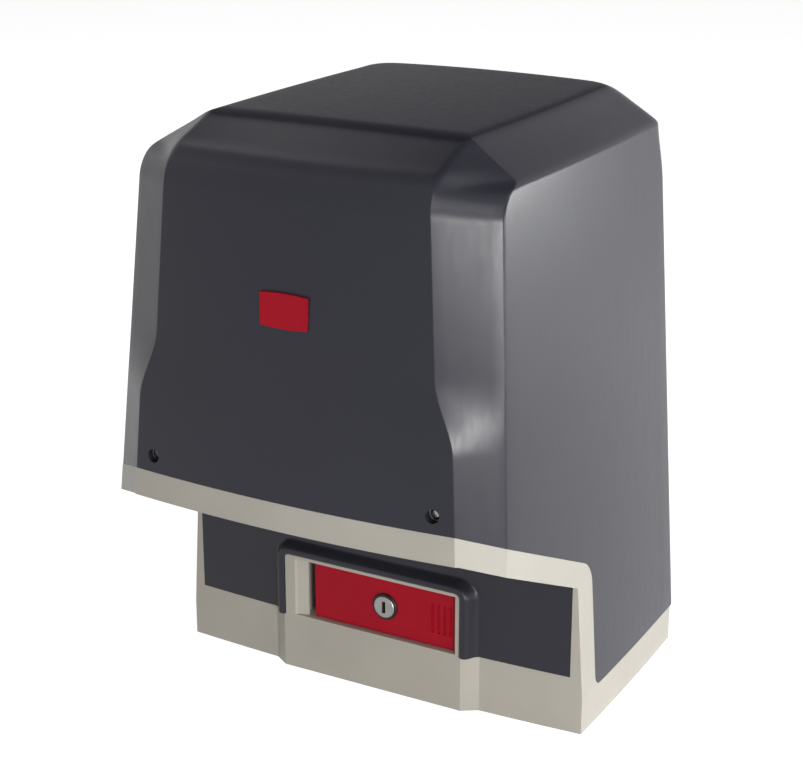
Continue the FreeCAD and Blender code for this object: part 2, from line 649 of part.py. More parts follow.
def lock_cam():
    cam = block(LOCK_X, LOCK_X + CAM_REACH - PLUG_R, CAM_Y, CAM_Y + CAM_T, LOCK_Z - PLUG_R, LOCK_Z + PLUG_R)
    ends = [pin_y(LOCK_X, LOCK_Z, CAM_Y, CAM_Y + CAM_T, PLUG_R),
            pin_y(LOCK_X + CAM_REACH - PLUG_R, LOCK_Z, CAM_Y, CAM_Y + CAM_T, PLUG_R)]
    return join([cam] + ends)


# ---------------------------------------------------------------- release rod, fork and dog clutch
DOG_Y = WHEEL_FRONT - FIT                             # back of the dog ring, ahead of the wheel
FORK_Y = DOG_Y - DOG_L / 2                            # middle of the fork


def release_rod():
    """Round rod with a slotted eye at its front that the door's crank pulls."""
    reach = CRANK * math.sin(math.radians(45))
    pin_y0, pin_x = HINGE_Y + reach, HINGE_X + reach
    slack = 0.5
    slot_r = CRANK_PIN_R + slack
    x0, x1 = pin_x - slot_r - 1.0, HINGE_X + CRANK + slot_r + 2.5
    z0, z1 = ROD_Z - 1.8, ROD_Z + 1.8
    back = pin_y0 + slot_r + 2.5
    eye = block(x0, x1, pin_y0 - slot_r - 2.2, back, z0, z1)
    slot = block(x0 - 1, HINGE_X + CRANK + slot_r, pin_y0 - slot_r, pin_y0 + slot_r, z0 - 1, z1 + 1)
    eye = eye.cut(slot)
    return eye.fuse(pin_y(ROD_X, ROD_Z, back - 1, FORK_Y + FORK_T, ROD_R)).removeSplitter()


def shift_fork():
    """Half ring in the dog's groove, on an arm clamped to the rod."""
    y0, y1 = FORK_Y - FORK_T / 2, FORK_Y + FORK_T / 2
    ring = ring_y(0, SHAFT_Z, y0, y1, FORK_R, DOG_R - DOG_DEPTH + FIT)
    ring = ring.common(block(-FAR, FAR, y0, y1, 0, SHAFT_Z))
    boss_r = ROD_R + 3.0
    angle = math.atan2(SHAFT_Z - ROD_Z, -ROD_X)
    mid = (DOG_R + FORK_R) / 2
    arm_length = math.hypot(ROD_X, SHAFT_Z - ROD_Z) - mid
    arm = block(0, arm_length, y0, y1, -5, 5)
    arm.rotate(V(0, 0, 0), V(0, 1, 0), 180 - math.degrees(angle))
    arm.translate(V(-mid * math.cos(angle), 0, SHAFT_Z - mid * math.sin(angle)))
    boss = pin_y(ROD_X, ROD_Z, FORK_Y - FORK_T, FORK_Y + FORK_T, boss_r)
    return join([ring, arm, boss]).cut(pin_y(ROD_X, ROD_Z, -FAR, FAR, ROD_R))


def dog_teeth(gap):
    """Four dogs between the clutch ring and the wheel, each an eighth of a turn wide less the gap."""
    y0, y1 = DOG_Y - 1, WHEEL_FRONT + DOG_DEPTH - gap
    teeth = []
    for i in range(4):
        ring = ring_y(0, SHAFT_Z, y0, y1, DOG_R - gap, SHAFT_R + 3.0 + gap)
        half = math.radians(20) - gap / DOG_R
        far = 2 * DOG_R
        wedge = prism_y([(0, SHAFT_Z), (far * math.cos(half), SHAFT_Z - far * math.sin(half)),
                         (far * math.cos(half), SHAFT_Z + far * math.sin(half))], y0, y1)
        teeth.append(turned(ring.common(wedge), V(0, 0, SHAFT_Z), V(0, 1, 0), 45 + 90 * i))
    return teeth


def flatted_shaft(y0, y1, extra):
    """Output shaft's section where the dog slides: a round bar with two flats."""
    r = SHAFT_R + extra
    flat = SHAFT_R - 1.5 + extra
    return pin_y(0, SHAFT_Z, y0, y1, r).common(block(-flat, flat, y0, y1, SHAFT_Z - r, SHAFT_Z + r))


def clutch_dog():
    front = DOG_Y - DOG_L
    ring = pin_y(0, SHAFT_Z, front, DOG_Y, DOG_R)
    half = FORK_T / 2 + FIT
    groove = ring_y(0, SHAFT_Z, FORK_Y - half, FORK_Y + half, DOG_R + 1, DOG_R - DOG_DEPTH)
    ring = ring.cut(groove).fuse(dog_teeth(FIT))
    return ring.cut(flatted_shaft(front - 1, DOG_Y + FAR, RUN)).removeSplitter()


# ---------------------------------------------------------------- gears and shafts
def involute(angle):
    return math.tan(angle) - angle


def gear_blank(module, teeth, width, thinning, flank_steps):
    """Spur gear about +Y at the origin, with a tooth gap on the +X axis."""
    pitch_r = module * teeth / 2
    base_r = pitch_r * math.cos(math.radians(20))
    root_r, tip_r = pitch_r - 1.25 * module, pitch_r + module
    start_r = max(base_r, root_r)
    outline = []
    for tooth in range(teeth):
        middle = 2 * math.pi * (tooth + 0.5) / teeth
        flank = [(root_r, start_r)] if root_r < start_r else []
        for i in range(flank_steps + 1):
            r = start_r + (tip_r - start_r) * i / flank_steps
            flank.append((r, r))
        half = []
        for r, r_on in flank:
            roll = involute(math.acos(min(base_r / r_on, 1.0)))
            thick = math.pi / (2 * teeth) - thinning / (2 * pitch_r)
            half.append((r, thick + involute(math.radians(20)) - roll))
        turns = [(r, middle - a) for r, a in half] + [(r, middle + a) for r, a in reversed(half)]
        outline += [(r * math.cos(t), -r * math.sin(t)) for r, t in turns]
    return [V(x, -width / 2, z) for x, z in outline]


def spur_gear(module, teeth, width, thinning, flank_steps, lead_angle=0.0):
    """Gear solid; lead_angle slants its teeth to match a worm."""
    points = gear_blank(module, teeth, width, thinning, flank_steps)
    wire = Part.makePolygon(points + [points[0]])
    if not lead_angle:
        return Part.Face(wire).extrude(V(0, width, 0))
    pitch_r = module * teeth / 2
    twist = math.degrees(width * math.tan(lead_angle) / pitch_r)
    front = turned(wire, V(0, 0, 0), V(0, 1, 0), -twist / 2)
    back = turned(wire, V(0, 0, 0), V(0, 1, 0), twist / 2)
    back.translate(V(0, width, 0))
    return Part.makeLoft([front, back], True, True)


def worm_wheel():
    lead = math.atan(WHEEL_MODULE / 2 / WORM_R)
    gear = spur_gear(WHEEL_MODULE, WHEEL_TEETH, WHEEL_W, BACKLASH, 3, lead)
    gear.translate(V(0, WHEEL_Y, SHAFT_Z))
    dish_r = WHEEL_R - 3 * WHEEL_MODULE
    dish = ring_y(0, SHAFT_Z, WHEEL_BACK - 3, WHEEL_BACK + 1, dish_r, SHAFT_R + 6)
    pockets = []
    for tooth in dog_teeth(0):
        pockets.append(tooth.common(block(-FAR, FAR, WHEEL_FRONT - 1, FAR, 0, FAR)))
    return gear.cut([dish, pin_y(0, SHAFT_Z, 0, FAR, SHAFT_R + RUN)] + pockets)


def thread(radius, pitch, depth, z0, z1):
    """Right-handed ridge of trapezoid section round the Z axis, to fuse on a bar of that radius."""
    height = z1 - z0
    helix = Part.makeHelix(pitch, height, radius)
    middle, slant = pitch / 4 - BACKLASH / 4, depth * math.tan(math.radians(20)) / 2
    root, tip = middle + slant, middle - slant
    inner, outer = radius - 0.6, radius + depth
    section = Part.makePolygon([V(inner, 0, -root), V(outer, 0, -tip), V(outer, 0, tip), V(inner, 0, root),
                                V(inner, 0, -root)])
    ridge = Part.Wire(helix.Edges).makePipeShell([section], True, True)
    ridge.translate(V(0, 0, z0))
    return ridge


def worm_shaft():
    """Motor shaft with the worm cut on it and a tail for the encoder."""
    pitch = math.pi * WHEEL_MODULE
    root_r = WORM_R - 1.2 * WHEEL_MODULE
    turns = int(WORM_L / pitch / 2)
    low = SHAFT_Z - turns * pitch
    ridge = thread(root_r, pitch, WORM_TIP - root_r, low, low + 2 * turns * pitch)
    ridge.rotate(V(0, 0, 0), V(0, 0, 1), 180)
    worm = post(0, 0, low - pitch / 2, low + (2 * turns + 0.5) * pitch, root_r)
    shaft = post(0, 0, worm_low(), MOTOR_TOP + END_BELL_T + 6, WORM_SHAFT_R)
    solid = worm.fuse([shaft, ridge]).removeSplitter()
    solid.translate(V(WORM_X, WHEEL_Y, 0))
    return solid


def worm_low():
    return CASING_Z0 + CASING_WALL


def output_shaft():
    """Stepped shaft: front journal, flats for the dog, wheel seat, shoulder and pinion seat."""
    lid_end = CASING_Y0 - LID_T - LID_BOSS
    shoulder = BOSS_END - SEAL_W - FIT
    parts = [pin_y(0, SHAFT_Z, lid_end + 2, CASING_Y0, SHAFT_R),
             flatted_shaft(CASING_Y0, WHEEL_FRONT, 0),
             pin_y(0, SHAFT_Z, WHEEL_FRONT, PINION_Y + PINION_W, SHAFT_R),
             pin_y(0, SHAFT_Z, shoulder, PINION_Y, SHAFT_R + 2)]
    key = block(-KEY_W / 2, KEY_W / 2, PINION_Y, PINION_Y + PINION_W,
                SHAFT_Z + SHAFT_R - KEY_W / 2, SHAFT_Z + 2 * SHAFT_R)
    return join(parts).cut([key, pin_y(0, SHAFT_Z, PINION_Y + PINION_W - 20, FAR, PINION_BOLT_R)])


def drive_pinion():
    gear = spur_gear(PINION_MODULE, PINION_TEETH, PINION_W, BACKLASH, 3)
    gear.translate(V(0, PINION_Y + PINION_W / 2, SHAFT_Z))
    key = block(-KEY_W / 2, KEY_W / 2, PINION_Y - 1, PINION_Y + PINION_W + 1,
                SHAFT_Z, SHAFT_Z + SHAFT_R + KEY_W / 2)
    dish = ring_y(0, SHAFT_Z, PINION_Y + PINION_W - 3, PINION_Y + PINION_W + 1, PINION_R - 8, SHAFT_R + 6)
    return gear.cut([pin_y(0, SHAFT_Z, 0, FAR, SHAFT_R), key, dish])


def pinion_key():
    return block(-KEY_W / 2, KEY_W / 2, PINION_Y, PINION_Y + PINION_W - 1, SHAFT_Z + SHAFT_R - KEY_W / 2,
                 SHAFT_Z + SHAFT_R + KEY_W / 2)


def hex_head(x, z, y0, y1, across):
    points = [(x + across / math.sqrt(3) * math.cos(math.radians(60 * i)),
               z + across / math.sqrt(3) * math.sin(math.radians(60 * i))) for i in range(6)]
    return prism_y(points, y0, y1)


def pinion_bolt():
    end = PINION_Y + PINION_W
    return join([pin_y(0, SHAFT_Z, end, end + 2.5, SHAFT_R + 4), hex_head(0, SHAFT_Z, end + 2, end + 8.5, 15),
                 pin_y(0, SHAFT_Z, end - 18, end + 1, PINION_BOLT_R)])


# ---------------------------------------------------------------- gearbox
def lid_screw_places():
    inset = CASING_WALL / 2
    xs = (CASING_X0 + inset, WORM_X - WORM_BEARING_R - inset, CASING_X1 - inset)
    return [(x, z) for x in xs for z in (CASING_Z0 + inset, CASING_Z1 - inset)]


def plate_screw_places():
    dz = PINION_R + PINION_MODULE
    return [(sx * (PLATE_HALF - 10), SHAFT_Z + sz * dz) for sx in (-1, 1) for sz in (-1, 1)]


def gearbox_casing():
    body = block(CASING_X0, CASING_X1, CASING_Y0, CASING_Y1, CASING_Z0, CASING_Z1)
    body = fillet(body, 5.0, lambda e: abs(e.CenterOfMass.y - (CASING_Y0 + CASING_Y1) / 2) < 1e-3)
    skirt = block(CASING_X0 + 4, CASING_X1 - 4, CASING_Y0, CASING_Y1, CASING_FOOT, CASING_Z0 + 6)
    tunnel = block(CASING_X0 + 12, CASING_X1 - 12, CASING_Y0 + 8, CASING_Y1 - 8, 0, CASING_Z0)
    doorway = block(CASING_X0 + 12, CASING_X1 - 12, CASING_Y0 - 1, CASING_Y1 + 1, 0, CASING_Z0 - 6)
    body = body.fuse(skirt.cut([tunnel, doorway]))
    lugs = []
    for x, y in casing_bolts():
        inner = CASING_X0 + 6 if x < 0 else CASING_X1 - 6
        lugs.append(block(min(x, inner), max(x, inner), y - LUG_W / 2, y + LUG_W / 2,
                          CASING_FOOT, CASING_FOOT + 8))
        lugs.append(post(x, y, CASING_FOOT, CASING_FOOT + 8, LUG_W / 2))
    boss = pin_y(0, SHAFT_Z, CASING_Y1 - 1, BOSS_END, BOSS_R)
    ribs = [block(-2.5, 2.5, CASING_Y1 - 1, BOSS_END - 14, SHAFT_Z + BOSS_R - 2, SHAFT_Z + BOSS_R + 12)]
    pillars = [pin_y(x, z, CASING_Y1 - 1, PLATE_Y, 6) for x, z in plate_screw_places()]
    pillars = [p.fuse(block(p.CenterOfMass.x - 4, p.CenterOfMass.x + 4, CASING_Y1 - 6, CASING_Y1,
                            min(p.CenterOfMass.z, CASING_Z0 + 2), max(p.CenterOfMass.z, CASING_Z0 + 10)))
               if p.CenterOfMass.z < CASING_Z0 + 6 else p for p in pillars]
    flange = post(WORM_X, WHEEL_Y, CASING_Z1, FLANGE_Z, MOTOR_R)
    body = body.fuse(lugs + [boss] + ribs + pillars + [flange])
    chamber_x1 = FORK_R + 2
    cuts = [pin_y(0, SHAFT_Z, WHEEL_FRONT - 4, WHEEL_BACK + 2, WHEEL_ROOM),
            block(CASING_X0 + CASING_WALL, chamber_x1, CASING_Y0 - 1, WHEEL_FRONT - 2, CASING_Z0 + CASING_WALL,
                  CASING_Z1 - CASING_WALL),
            post(WORM_X, WHEEL_Y, worm_low(), CASING_Z1 + 1, WORM_BEARING_R),
            post(WORM_X, WHEEL_Y, CASING_Z1, FAR, WORM_BEARING_R - 3),
            pin_y(0, SHAFT_Z, WHEEL_BACK, BOSS_END - SEAL_W - BEARING_W - 1, SHAFT_R + 4),
            pin_y(0, SHAFT_Z, BOSS_END - SEAL_W - BEARING_W - 2, BOSS_END + 1, BEARING_R)]
    cuts += [post(x, y, 0, CASING_FOOT + 20, BOLT_R) for x, y in casing_bolts()]
    cuts += [pin_y(x, z, CASING_Y0 - 1, CASING_Y0 + 10, SCREW_R) for x, z in lid_screw_places()]
    cuts += [pin_y(x, z, PLATE_Y - 12, PLATE_Y + 1, SCREW_R) for x, z in plate_screw_places()]
    return body.cut(cuts).removeSplitter()


def gearbox_lid():
    y0 = CASING_Y0 - LID_T
    plate = block(CASING_X0, CASING_X1, y0, CASING_Y0, CASING_Z0, CASING_Z1)
    plate = fillet(plate, 5.0, lambda e: e.BoundBox.YLength > LID_T - 1)
    boss = pin_y(0, SHAFT_Z, y0 - LID_BOSS, y0 + 1, BOSS_R)
    ribs = []
    for i in range(8):
        rib = block(BOSS_R - 2, WHEEL_ROOM, y0 - 3, y0 + 1, -1.5, 1.5)
        rib.translate(V(0, 0, SHAFT_Z))
        ribs.append(turned(rib, V(0, 0, SHAFT_Z), V(0, 1, 0), 45 * i + 22.5))
    cuts = [pin_y(0, SHAFT_Z, CASING_Y0 - BEARING_W, CASING_Y0 + 1, BEARING_R),
            pin_y(ROD_X, ROD_Z, y0 - 5, CASING_Y0 + 1, ROD_R + RUN)]
    cuts += [pin_y(x, z, y0 - 1, CASING_Y0 + 1, SCREW_R) for x, z in lid_screw_places()]
    return plate.fuse([boss] + ribs).cut(cuts).removeSplitter()


def screws_y(places, y, direction, head_r, length):
    """Round-headed screws along Y; direction is -1 where the heads face the front."""
    solids = []
    for x, z in places:
        head = pin_y(x, z, min(y, y + 2.4 * direction), max(y, y + 2.4 * direction), head_r)
        shank = pin_y(x, z, min(y, y - length * direction), max(y, y - length * direction), SCREW_R)
        sunk, beyond = y + direction, y + 3 * direction
        socket = hex_head(x, z, min(sunk, beyond), max(sunk, beyond), head_r * 0.8)
        solids.append(head.fuse(shank).removeSplitter().cut(socket))
    return group(solids)


def gearbox_bolts():
    solids = []
    top = CASING_FOOT + 8
    for x, y in casing_bolts():
        head = hex_head(0, 0, 0, 4.5, 9.5)
        head.rotate(V(0, 0, 0), V(1, 0, 0), 90)
        head.translate(V(x, y, top))
        solids.append(head.fuse(post(x, y, FLOOR_T, top, BOLT_R)).removeSplitter())
    return group(solids)


def output_bearings():
    rear = BOSS_END - SEAL_W
    return group([ring_y(0, SHAFT_Z, rear - BEARING_W, rear - FIT, BEARING_R, SHAFT_R + RUN),
                  ring_y(0, SHAFT_Z, CASING_Y0 - BEARING_W, CASING_Y0, BEARING_R, SHAFT_R + RUN)])


def worm_bearings():
    x, y = WORM_X, WHEEL_Y
    return group([ring_z(x, y, z, z + WORM_BEARING_W, WORM_BEARING_R, WORM_SHAFT_R + RUN)
                  for z in (worm_low(), CASING_Z1 - WORM_BEARING_W)])


def shaft_seal():
    return ring_y(0, SHAFT_Z, BOSS_END - SEAL_W, BOSS_END - 1, BEARING_R, SHAFT_R + 2 + RUN)


# ---------------------------------------------------------------- motor
def motor_can():
    can = ring_z(WORM_X, WHEEL_Y, FLANGE_Z, MOTOR_TOP, MOTOR_R, MOTOR_R - MOTOR_WALL)
    fins = []
    for i in range(24):
        angle = 15 * i
        fin = block(MOTOR_R - 1, MOTOR_R + 2.5, -1, 1, FLANGE_Z + 8, MOTOR_TOP - 8)
        fin.rotate(V(0, 0, 0), V(0, 0, 1), angle)
        fin.translate(V(WORM_X, WHEEL_Y, 0))
        fins.append(fin)
    return can.fuse(fins).removeSplitter()


def stator():
    z0 = FLANGE_Z + (MOTOR_L - ROTOR_L) / 2
    return ring_z(WORM_X, WHEEL_Y, z0, z0 + ROTOR_L, MOTOR_R - MOTOR_WALL, MOTOR_R - MOTOR_WALL - STATOR_T)


def rotor_core():
    z0 = FLANGE_Z + (MOTOR_L - ROTOR_L) / 2
    return ring_z(WORM_X, WHEEL_Y, z0, z0 + ROTOR_L, ROTOR_R, WORM_SHAFT_R)


def motor_end_bell():
    plate = post(WORM_X, WHEEL_Y, MOTOR_TOP, MOTOR_TOP + END_BELL_T, MOTOR_R)
    plate = chamfer(plate, 2.0, lambda e: abs(e.CenterOfMass.z - MOTOR_TOP - END_BELL_T) < 1e-3)
    spigot = ring_z(WORM_X, WHEEL_Y, MOTOR_TOP - 4, MOTOR_TOP, MOTOR_R - MOTOR_WALL, MOTOR_R - MOTOR_WALL - 4)
    return plate.fuse(spigot).cut(post(WORM_X, WHEEL_Y, 0, FAR, WORM_SHAFT_R + RUN)).removeSplitter()


def encoder_disc():
    z = MOTOR_TOP + END_BELL_T + 3
    disc = ring_z(WORM_X, WHEEL_Y, z, z + 2, ENCODER_R, WORM_SHAFT_R)
    slots = []
    for i in range(12):
        slot = block(ENCODER_R - 4, ENCODER_R - 1.5, -1.2, 1.2, z - 1, z + 3)
        slot.rotate(V(0, 0, 0), V(0, 0, 1), 30 * i)
        slot.translate(V(WORM_X, WHEEL_Y, 0))
        slots.append(slot)
    return disc.cut(slots)


def encoder_cap():
    z = MOTOR_TOP + END_BELL_T
    cap = post(WORM_X, WHEEL_Y, z, z + 12, ENCODER_R + 5)
    cap = chamfer(cap, 1.5, lambda e: abs(e.CenterOfMass.z - z - 12) < 1e-3)
    return cap.cut(post(WORM_X, WHEEL_Y, z - 1, z + 10, ENCODER_R + 3))


def motor_screws():
    solids = []
    top = MOTOR_TOP + END_BELL_T
    for i in range(4):
        angle = math.radians(45 + 90 * i)
        x, y = WORM_X + (MOTOR_R - 8) * math.cos(angle), WHEEL_Y + (MOTOR_R - 8) * math.sin(angle)
        solids.append(post(x, y, top, top + 3, SCREW_HEAD_R).cut(post(x, y, top + 1.2, top + 4, 1.8)))
    return group(solids)


# ---------------------------------------------------------------- transformer and electronics
CORE_X = WORM_X - MOTOR_R - CORE_R - 9.0
CORE_Y = WHEEL_Y - 5.0
SHELF_HALF = CORE_R + 3.0


def transformer_shelf():
    """Folded sheet with two legs and feet on the base's floor."""
    x0, x1 = CORE_X - SHELF_HALF, CORE_X + SHELF_HALF
    y0, y1 = CORE_Y - SHELF_HALF, CORE_Y + SHELF_HALF
    top = block(x0, x1, y0, y1, SHELF_Z - SHELF_T, SHELF_Z)
    top = fillet(top, 6.0, upright)
    leg_x = CASING_X0 - LUG_W - 8
    parts = [top]
    for ya, yb in ((y0 + 4, y0 + 24), (y1 - 24, y1 - 4)):
        parts.append(block(leg_x - SHELF_T, leg_x, ya, yb, FLOOR_T, SHELF_Z - 1))
        parts.append(block(leg_x - 14, leg_x, ya, yb, FLOOR_T, FLOOR_T + SHELF_T))
    return join(parts)


def transformer_core():
    z0, z1 = SHELF_Z, SHELF_Z + CORE_H
    ring = ring_z(CORE_X, CORE_Y, z0, z1, CORE_R, CORE_R * 0.36)
    return chamfer(ring, CORE_R / 6, lambda e: e.Curve.TypeId == "Part::GeomCircle"
                   and abs(e.Curve.Radius - CORE_R) < 1e-3)


def transformer_clamp():
    z = SHELF_Z + CORE_H
    dish = post(CORE_X, CORE_Y, z, z + 2, CORE_R * 0.62)
    bolt = post(CORE_X, CORE_Y, SHELF_Z, z + 1, 3.0)
    nut = hex_head(0, 0, 0, 5, 10)
    nut.rotate(V(0, 0, 0), V(1, 0, 0), 90)
    nut.translate(V(CORE_X, CORE_Y, z + 2))
    return join([dish, bolt, nut])


def board_carrier():
    """Ribbed plastic plate on two legs, with standoffs for the board."""
    half, low, high = BOARD_W / 2 + 5, BOARD_Z - 6, BOARD_Z + BOARD_H + 6
    back = CARRIER_Y + CARRIER_T
    plate = block(-half, half, CARRIER_Y, back, low, high)
    plate = fillet(plate, 6.0, lambda e: e.BoundBox.YLength > CARRIER_T - 1)
    edge, bar = 22.0, 4.0
    width = (2 * half - 2 * edge - 2 * bar) / 3
    windows = [block(x, x + width, CARRIER_Y - 1, back + 1, low + 45, high - 22)
               for x in [edge - half + (width + bar) * i for i in range(3)]]
    parts = [block(x - 2, x + 2, CARRIER_Y, back + 5, low + 5, high - 5) for x in (-half + 12, half - 12)]
    for x in carrier_legs():
        parts.append(block(x - 7, x + 7, CARRIER_Y, back + 1, leg_foot(), low + 4))
        parts.append(block(x - 1.5, x + 1.5, CARRIER_Y, back + 9, leg_foot(), low + 20))
    parts += [pin_y(x, z, BOARD_Y, CARRIER_Y + 1, 3.5) for x, z in board_corners()]
    return plate.cut(windows).fuse(parts).removeSplitter()


def board_corners():
    return [(sx * (BOARD_W / 2 - 6), z) for sx in (-1, 1) for z in (BOARD_Z + 6, BOARD_Z + BOARD_H - 6)]


BOARD_FACE = BOARD_Y - BOARD_T


def control_board():
    board = block(-BOARD_W / 2, BOARD_W / 2, BOARD_FACE, BOARD_Y, BOARD_Z, BOARD_Z + BOARD_H)
    holes = [pin_y(x, z, BOARD_FACE - 1, BOARD_Y + 1, 1.6) for x, z in board_corners()]
    return board.cut(holes)


def on_board(x, z, width, height, depth):
    """A component's block on the face of the board, from its lower left corner."""
    return block(x, x + width, BOARD_FACE - depth, BOARD_FACE, BOARD_Z + z, BOARD_Z + z + height)


def board_screws():
    return group([pin_y(x, z, BOARD_FACE - 2.0, BOARD_FACE, 3.0).cut(
        block(x - 0.5, x + 0.5, BOARD_FACE - 3, BOARD_FACE - 1, z - 3, z + 3)) for x, z in board_corners()])


def terminal_blocks():
    """Rows of screw clamps along the board's lower edge."""
    solids = []
    pitch, height, depth = 5.08, 12.0, 10.0
    edge, apart = 13.0, 4.0
    room = (BOARD_W - 2 * edge - 2 * apart) / 3
    ways = int(room / pitch)
    for start in [edge - BOARD_W / 2 + (room + apart) * i for i in range(3)]:
        bar = on_board(start, 3.0, ways * pitch, height, depth)
        bar = bar.cut(prism_x([(BOARD_FACE - depth - 1, BOARD_Z + 12), (BOARD_FACE - depth - 1, BOARD_Z + 16),
                               (BOARD_FACE - 6, BOARD_Z + 16)], -FAR, FAR))
        wells = []
        for i in range(ways):
            x = start + (i + 0.5) * pitch
            wells.append(block(x - 1.7, x + 1.7, BOARD_FACE - 8.5, BOARD_FACE - 3, BOARD_Z + 2, BOARD_Z + 8))
        solids.append(bar.cut(wells))
    return group(solids)


def relays():
    return group([on_board(BOARD_W * share, 78.0, 15.5, 19.5, 15.5) for share in (-0.44, -0.313, -0.187)])


def capacitors():
    solids = []
    for share, z, r, depth in ((0.0, 92.0, 8.0, 20.0), (0.115, 94.0, 6.5, 18.0),
                               (-0.4, 52.0, 5.0, 13.0), (-0.31, 52.0, 5.0, 13.0)):
        x, z = BOARD_W * share, BOARD_Z + z
        sleeve = pin_y(x, z, BOARD_FACE - depth + 0.4, BOARD_FACE, r)
        solids.append(sleeve.fuse(pin_y(x, z, BOARD_FACE - depth, BOARD_FACE - 1, r - 0.7)).removeSplitter())
    return group(solids)


def fuse_holder():
    left = -0.44 * BOARD_W
    base = on_board(left, 30.0, 26.0, 9.0, 5.0)
    tube = Part.makeCylinder(2.6, 20.0, V(left + 3.0, BOARD_FACE - 8.0, BOARD_Z + 34.5), V(1, 0, 0))
    clips = [on_board(left + x, 31.5, 3.0, 6.0, 8.0) for x in (2.0, 21.0)]
    return join([base, tube] + clips)


def controller_chip():
    return group([on_board(-14.0, 46.0, 14.0, 14.0, 1.6), on_board(-12.0, 68.0, 10.0, 6.0, 1.8)])


def display():
    left = 0.2 * BOARD_W
    body = on_board(left, 76.0, 36.0, 20.0, 8.0)
    return body.cut(on_board(left + 3.0, 79.0, 30.0, 14.0, 9.0).cut(on_board(left, 76.0, 36.0, 20.0, 7.4)))


def button_places():
    return [(BOARD_W * (0.227 + 0.093 * i), 56.0) for i in range(3)]


def button_bodies():
    solids = []
    for x, z in button_places():
        body = on_board(x - 5.0, z - 5.0, 10.0, 10.0, 5.0)
        solids.append(body.cut(pin_y(x, BOARD_Z + z, BOARD_FACE - 6, BOARD_FACE - 1.0, BUTTON_R + RUN)))
    return group(solids)


def push_button(index):
    x, z = button_places()[index]
    stem_end = BOARD_FACE - 1.0 - BUTTON_TRAVEL - FIT
    stem = pin_y(x, BOARD_Z + z, BOARD_FACE - 9.0, stem_end, BUTTON_R)
    cap = pin_y(x, BOARD_Z + z, BOARD_FACE - 9.5, BOARD_FACE - 5.0 - BUTTON_TRAVEL - FIT, BUTTON_R + 1.0)
    return join([stem, cap])


# ---------------------------------------------------------------- rear plate and limit switch
def rear_plate():
    plate = arch(0, PLATE_Y, REAR_Y)
    holes = [pin_y(0, SHAFT_Z, 0, FAR, BOSS_R + FIT), pin_y(0, LIMIT_Z, 0, FAR, LIMIT_PIN_R + RUN)]
    holes += [pin_y(x, z, 0, FAR, SCREW_R) for x, z in plate_screw_places()]
    rim = arch(0, PLATE_Y - 3, PLATE_Y + 1).cut(arch(-2.5, PLATE_Y - 4, PLATE_Y + 2))
    rim = rim.cut(block(-FAR, FAR, 0, FAR, 0, COVER_FOOT_Z + LIP_H + 1))
    return plate.cut(holes).fuse(rim.common(block(-FAR, FAR, 0, PLATE_Y + 0.5, 0, FAR))).removeSplitter()


def limit_switch():
    body = block(-16, 13, PLATE_Y - LIMIT_BODY_D, PLATE_Y, LIMIT_Z - 16, LIMIT_Z + 16)
    body = fillet(body, 2.5, lambda e: e.BoundBox.YLength > LIMIT_BODY_D - 1)
    return body.cut(pin_y(0, LIMIT_Z, PLATE_Y - LIMIT_BODY_D + 2, PLATE_Y + 1, LIMIT_PIN_R + 1))


def limit_lever():
    hub_y = REAR_Y + FIT
    pin = pin_y(0, LIMIT_Z, PLATE_Y - LIMIT_BODY_D + 3, hub_y + 1, LIMIT_PIN_R)
    hub = pin_y(0, LIMIT_Z, hub_y, hub_y + 8, LIMIT_PIN_R + 4)
    collar = post(0, hub_y + 4, LIMIT_Z, LIMIT_Z + 12, 3.2)
    return join([pin, hub, collar])


def limit_spring():
    """Close-wound finger on the lever, with a round tip."""
    y = REAR_Y + FIT + 4
    bar = post(0, y, LIMIT_Z + 12, LIMIT_Z + LIMIT_ARM, 2.6)
    tip = Part.makeSphere(2.6, V(0, y, LIMIT_Z + LIMIT_ARM))
    return bar.fuse(tip)


def cable_grommet():
    """Rubber edging of the cable entry, with a lip above the floor."""
    def frame(grow, z0, z1):
        half = CABLE_W / 2 + grow
        return block(CABLE_X - half, CABLE_X + half, CABLE_Y0 - grow, CABLE_Y1 + grow, z0, z1)

    solid = frame(0, 0.5, FLOOR_T + 1).fuse(frame(GROMMET_LIP, FLOOR_T, FLOOR_T + 2.5))
    solid = fillet(solid.removeSplitter(), 2.0, upright)
    return solid.cut(frame(-GROMMET_LIP, 0, FLOOR_T + 5))


# ---------------------------------------------------------------- cover
def cover():
    shell = form(COVER_FOOT_Z - 2, HEIGHT).common(roof_envelope())
    shell = shell.cut(form(COVER_FOOT_Z - 3, HEIGHT - COVER_WALL, COVER_WALL))
    shell = shell.cut([under_rim(), arch(LIP_GAP, REAR_Y - 3 * COVER_WALL, REAR_Y + 1)])
    bosses, cuts = [], []
    for side in (-1, 1):
        x = side * SCREW_X
        face = panel_y(SCREW_X, SCREW_Z)
        bosses.append(pin_y(x, SCREW_Z, face + 1.5, face + COVER_WALL + LUG_GAP - FIT, SCREW_BOSS_R))
        cuts.append(pin_y(x, SCREW_Z, face - 5, face + CUP_D, SCREW_HEAD_R + 0.8))
        cuts.append(pin_y(x, SCREW_Z, face - 5, face + FAR / 20, SCREW_R + RUN))
    seat_y = panel_y(0, BADGE_Z)
    cuts.append(badge_form(BADGE_GAP, seat_y - 5, seat_y + 1.0))
    return shell.fuse(bosses).cut(cuts).removeSplitter()


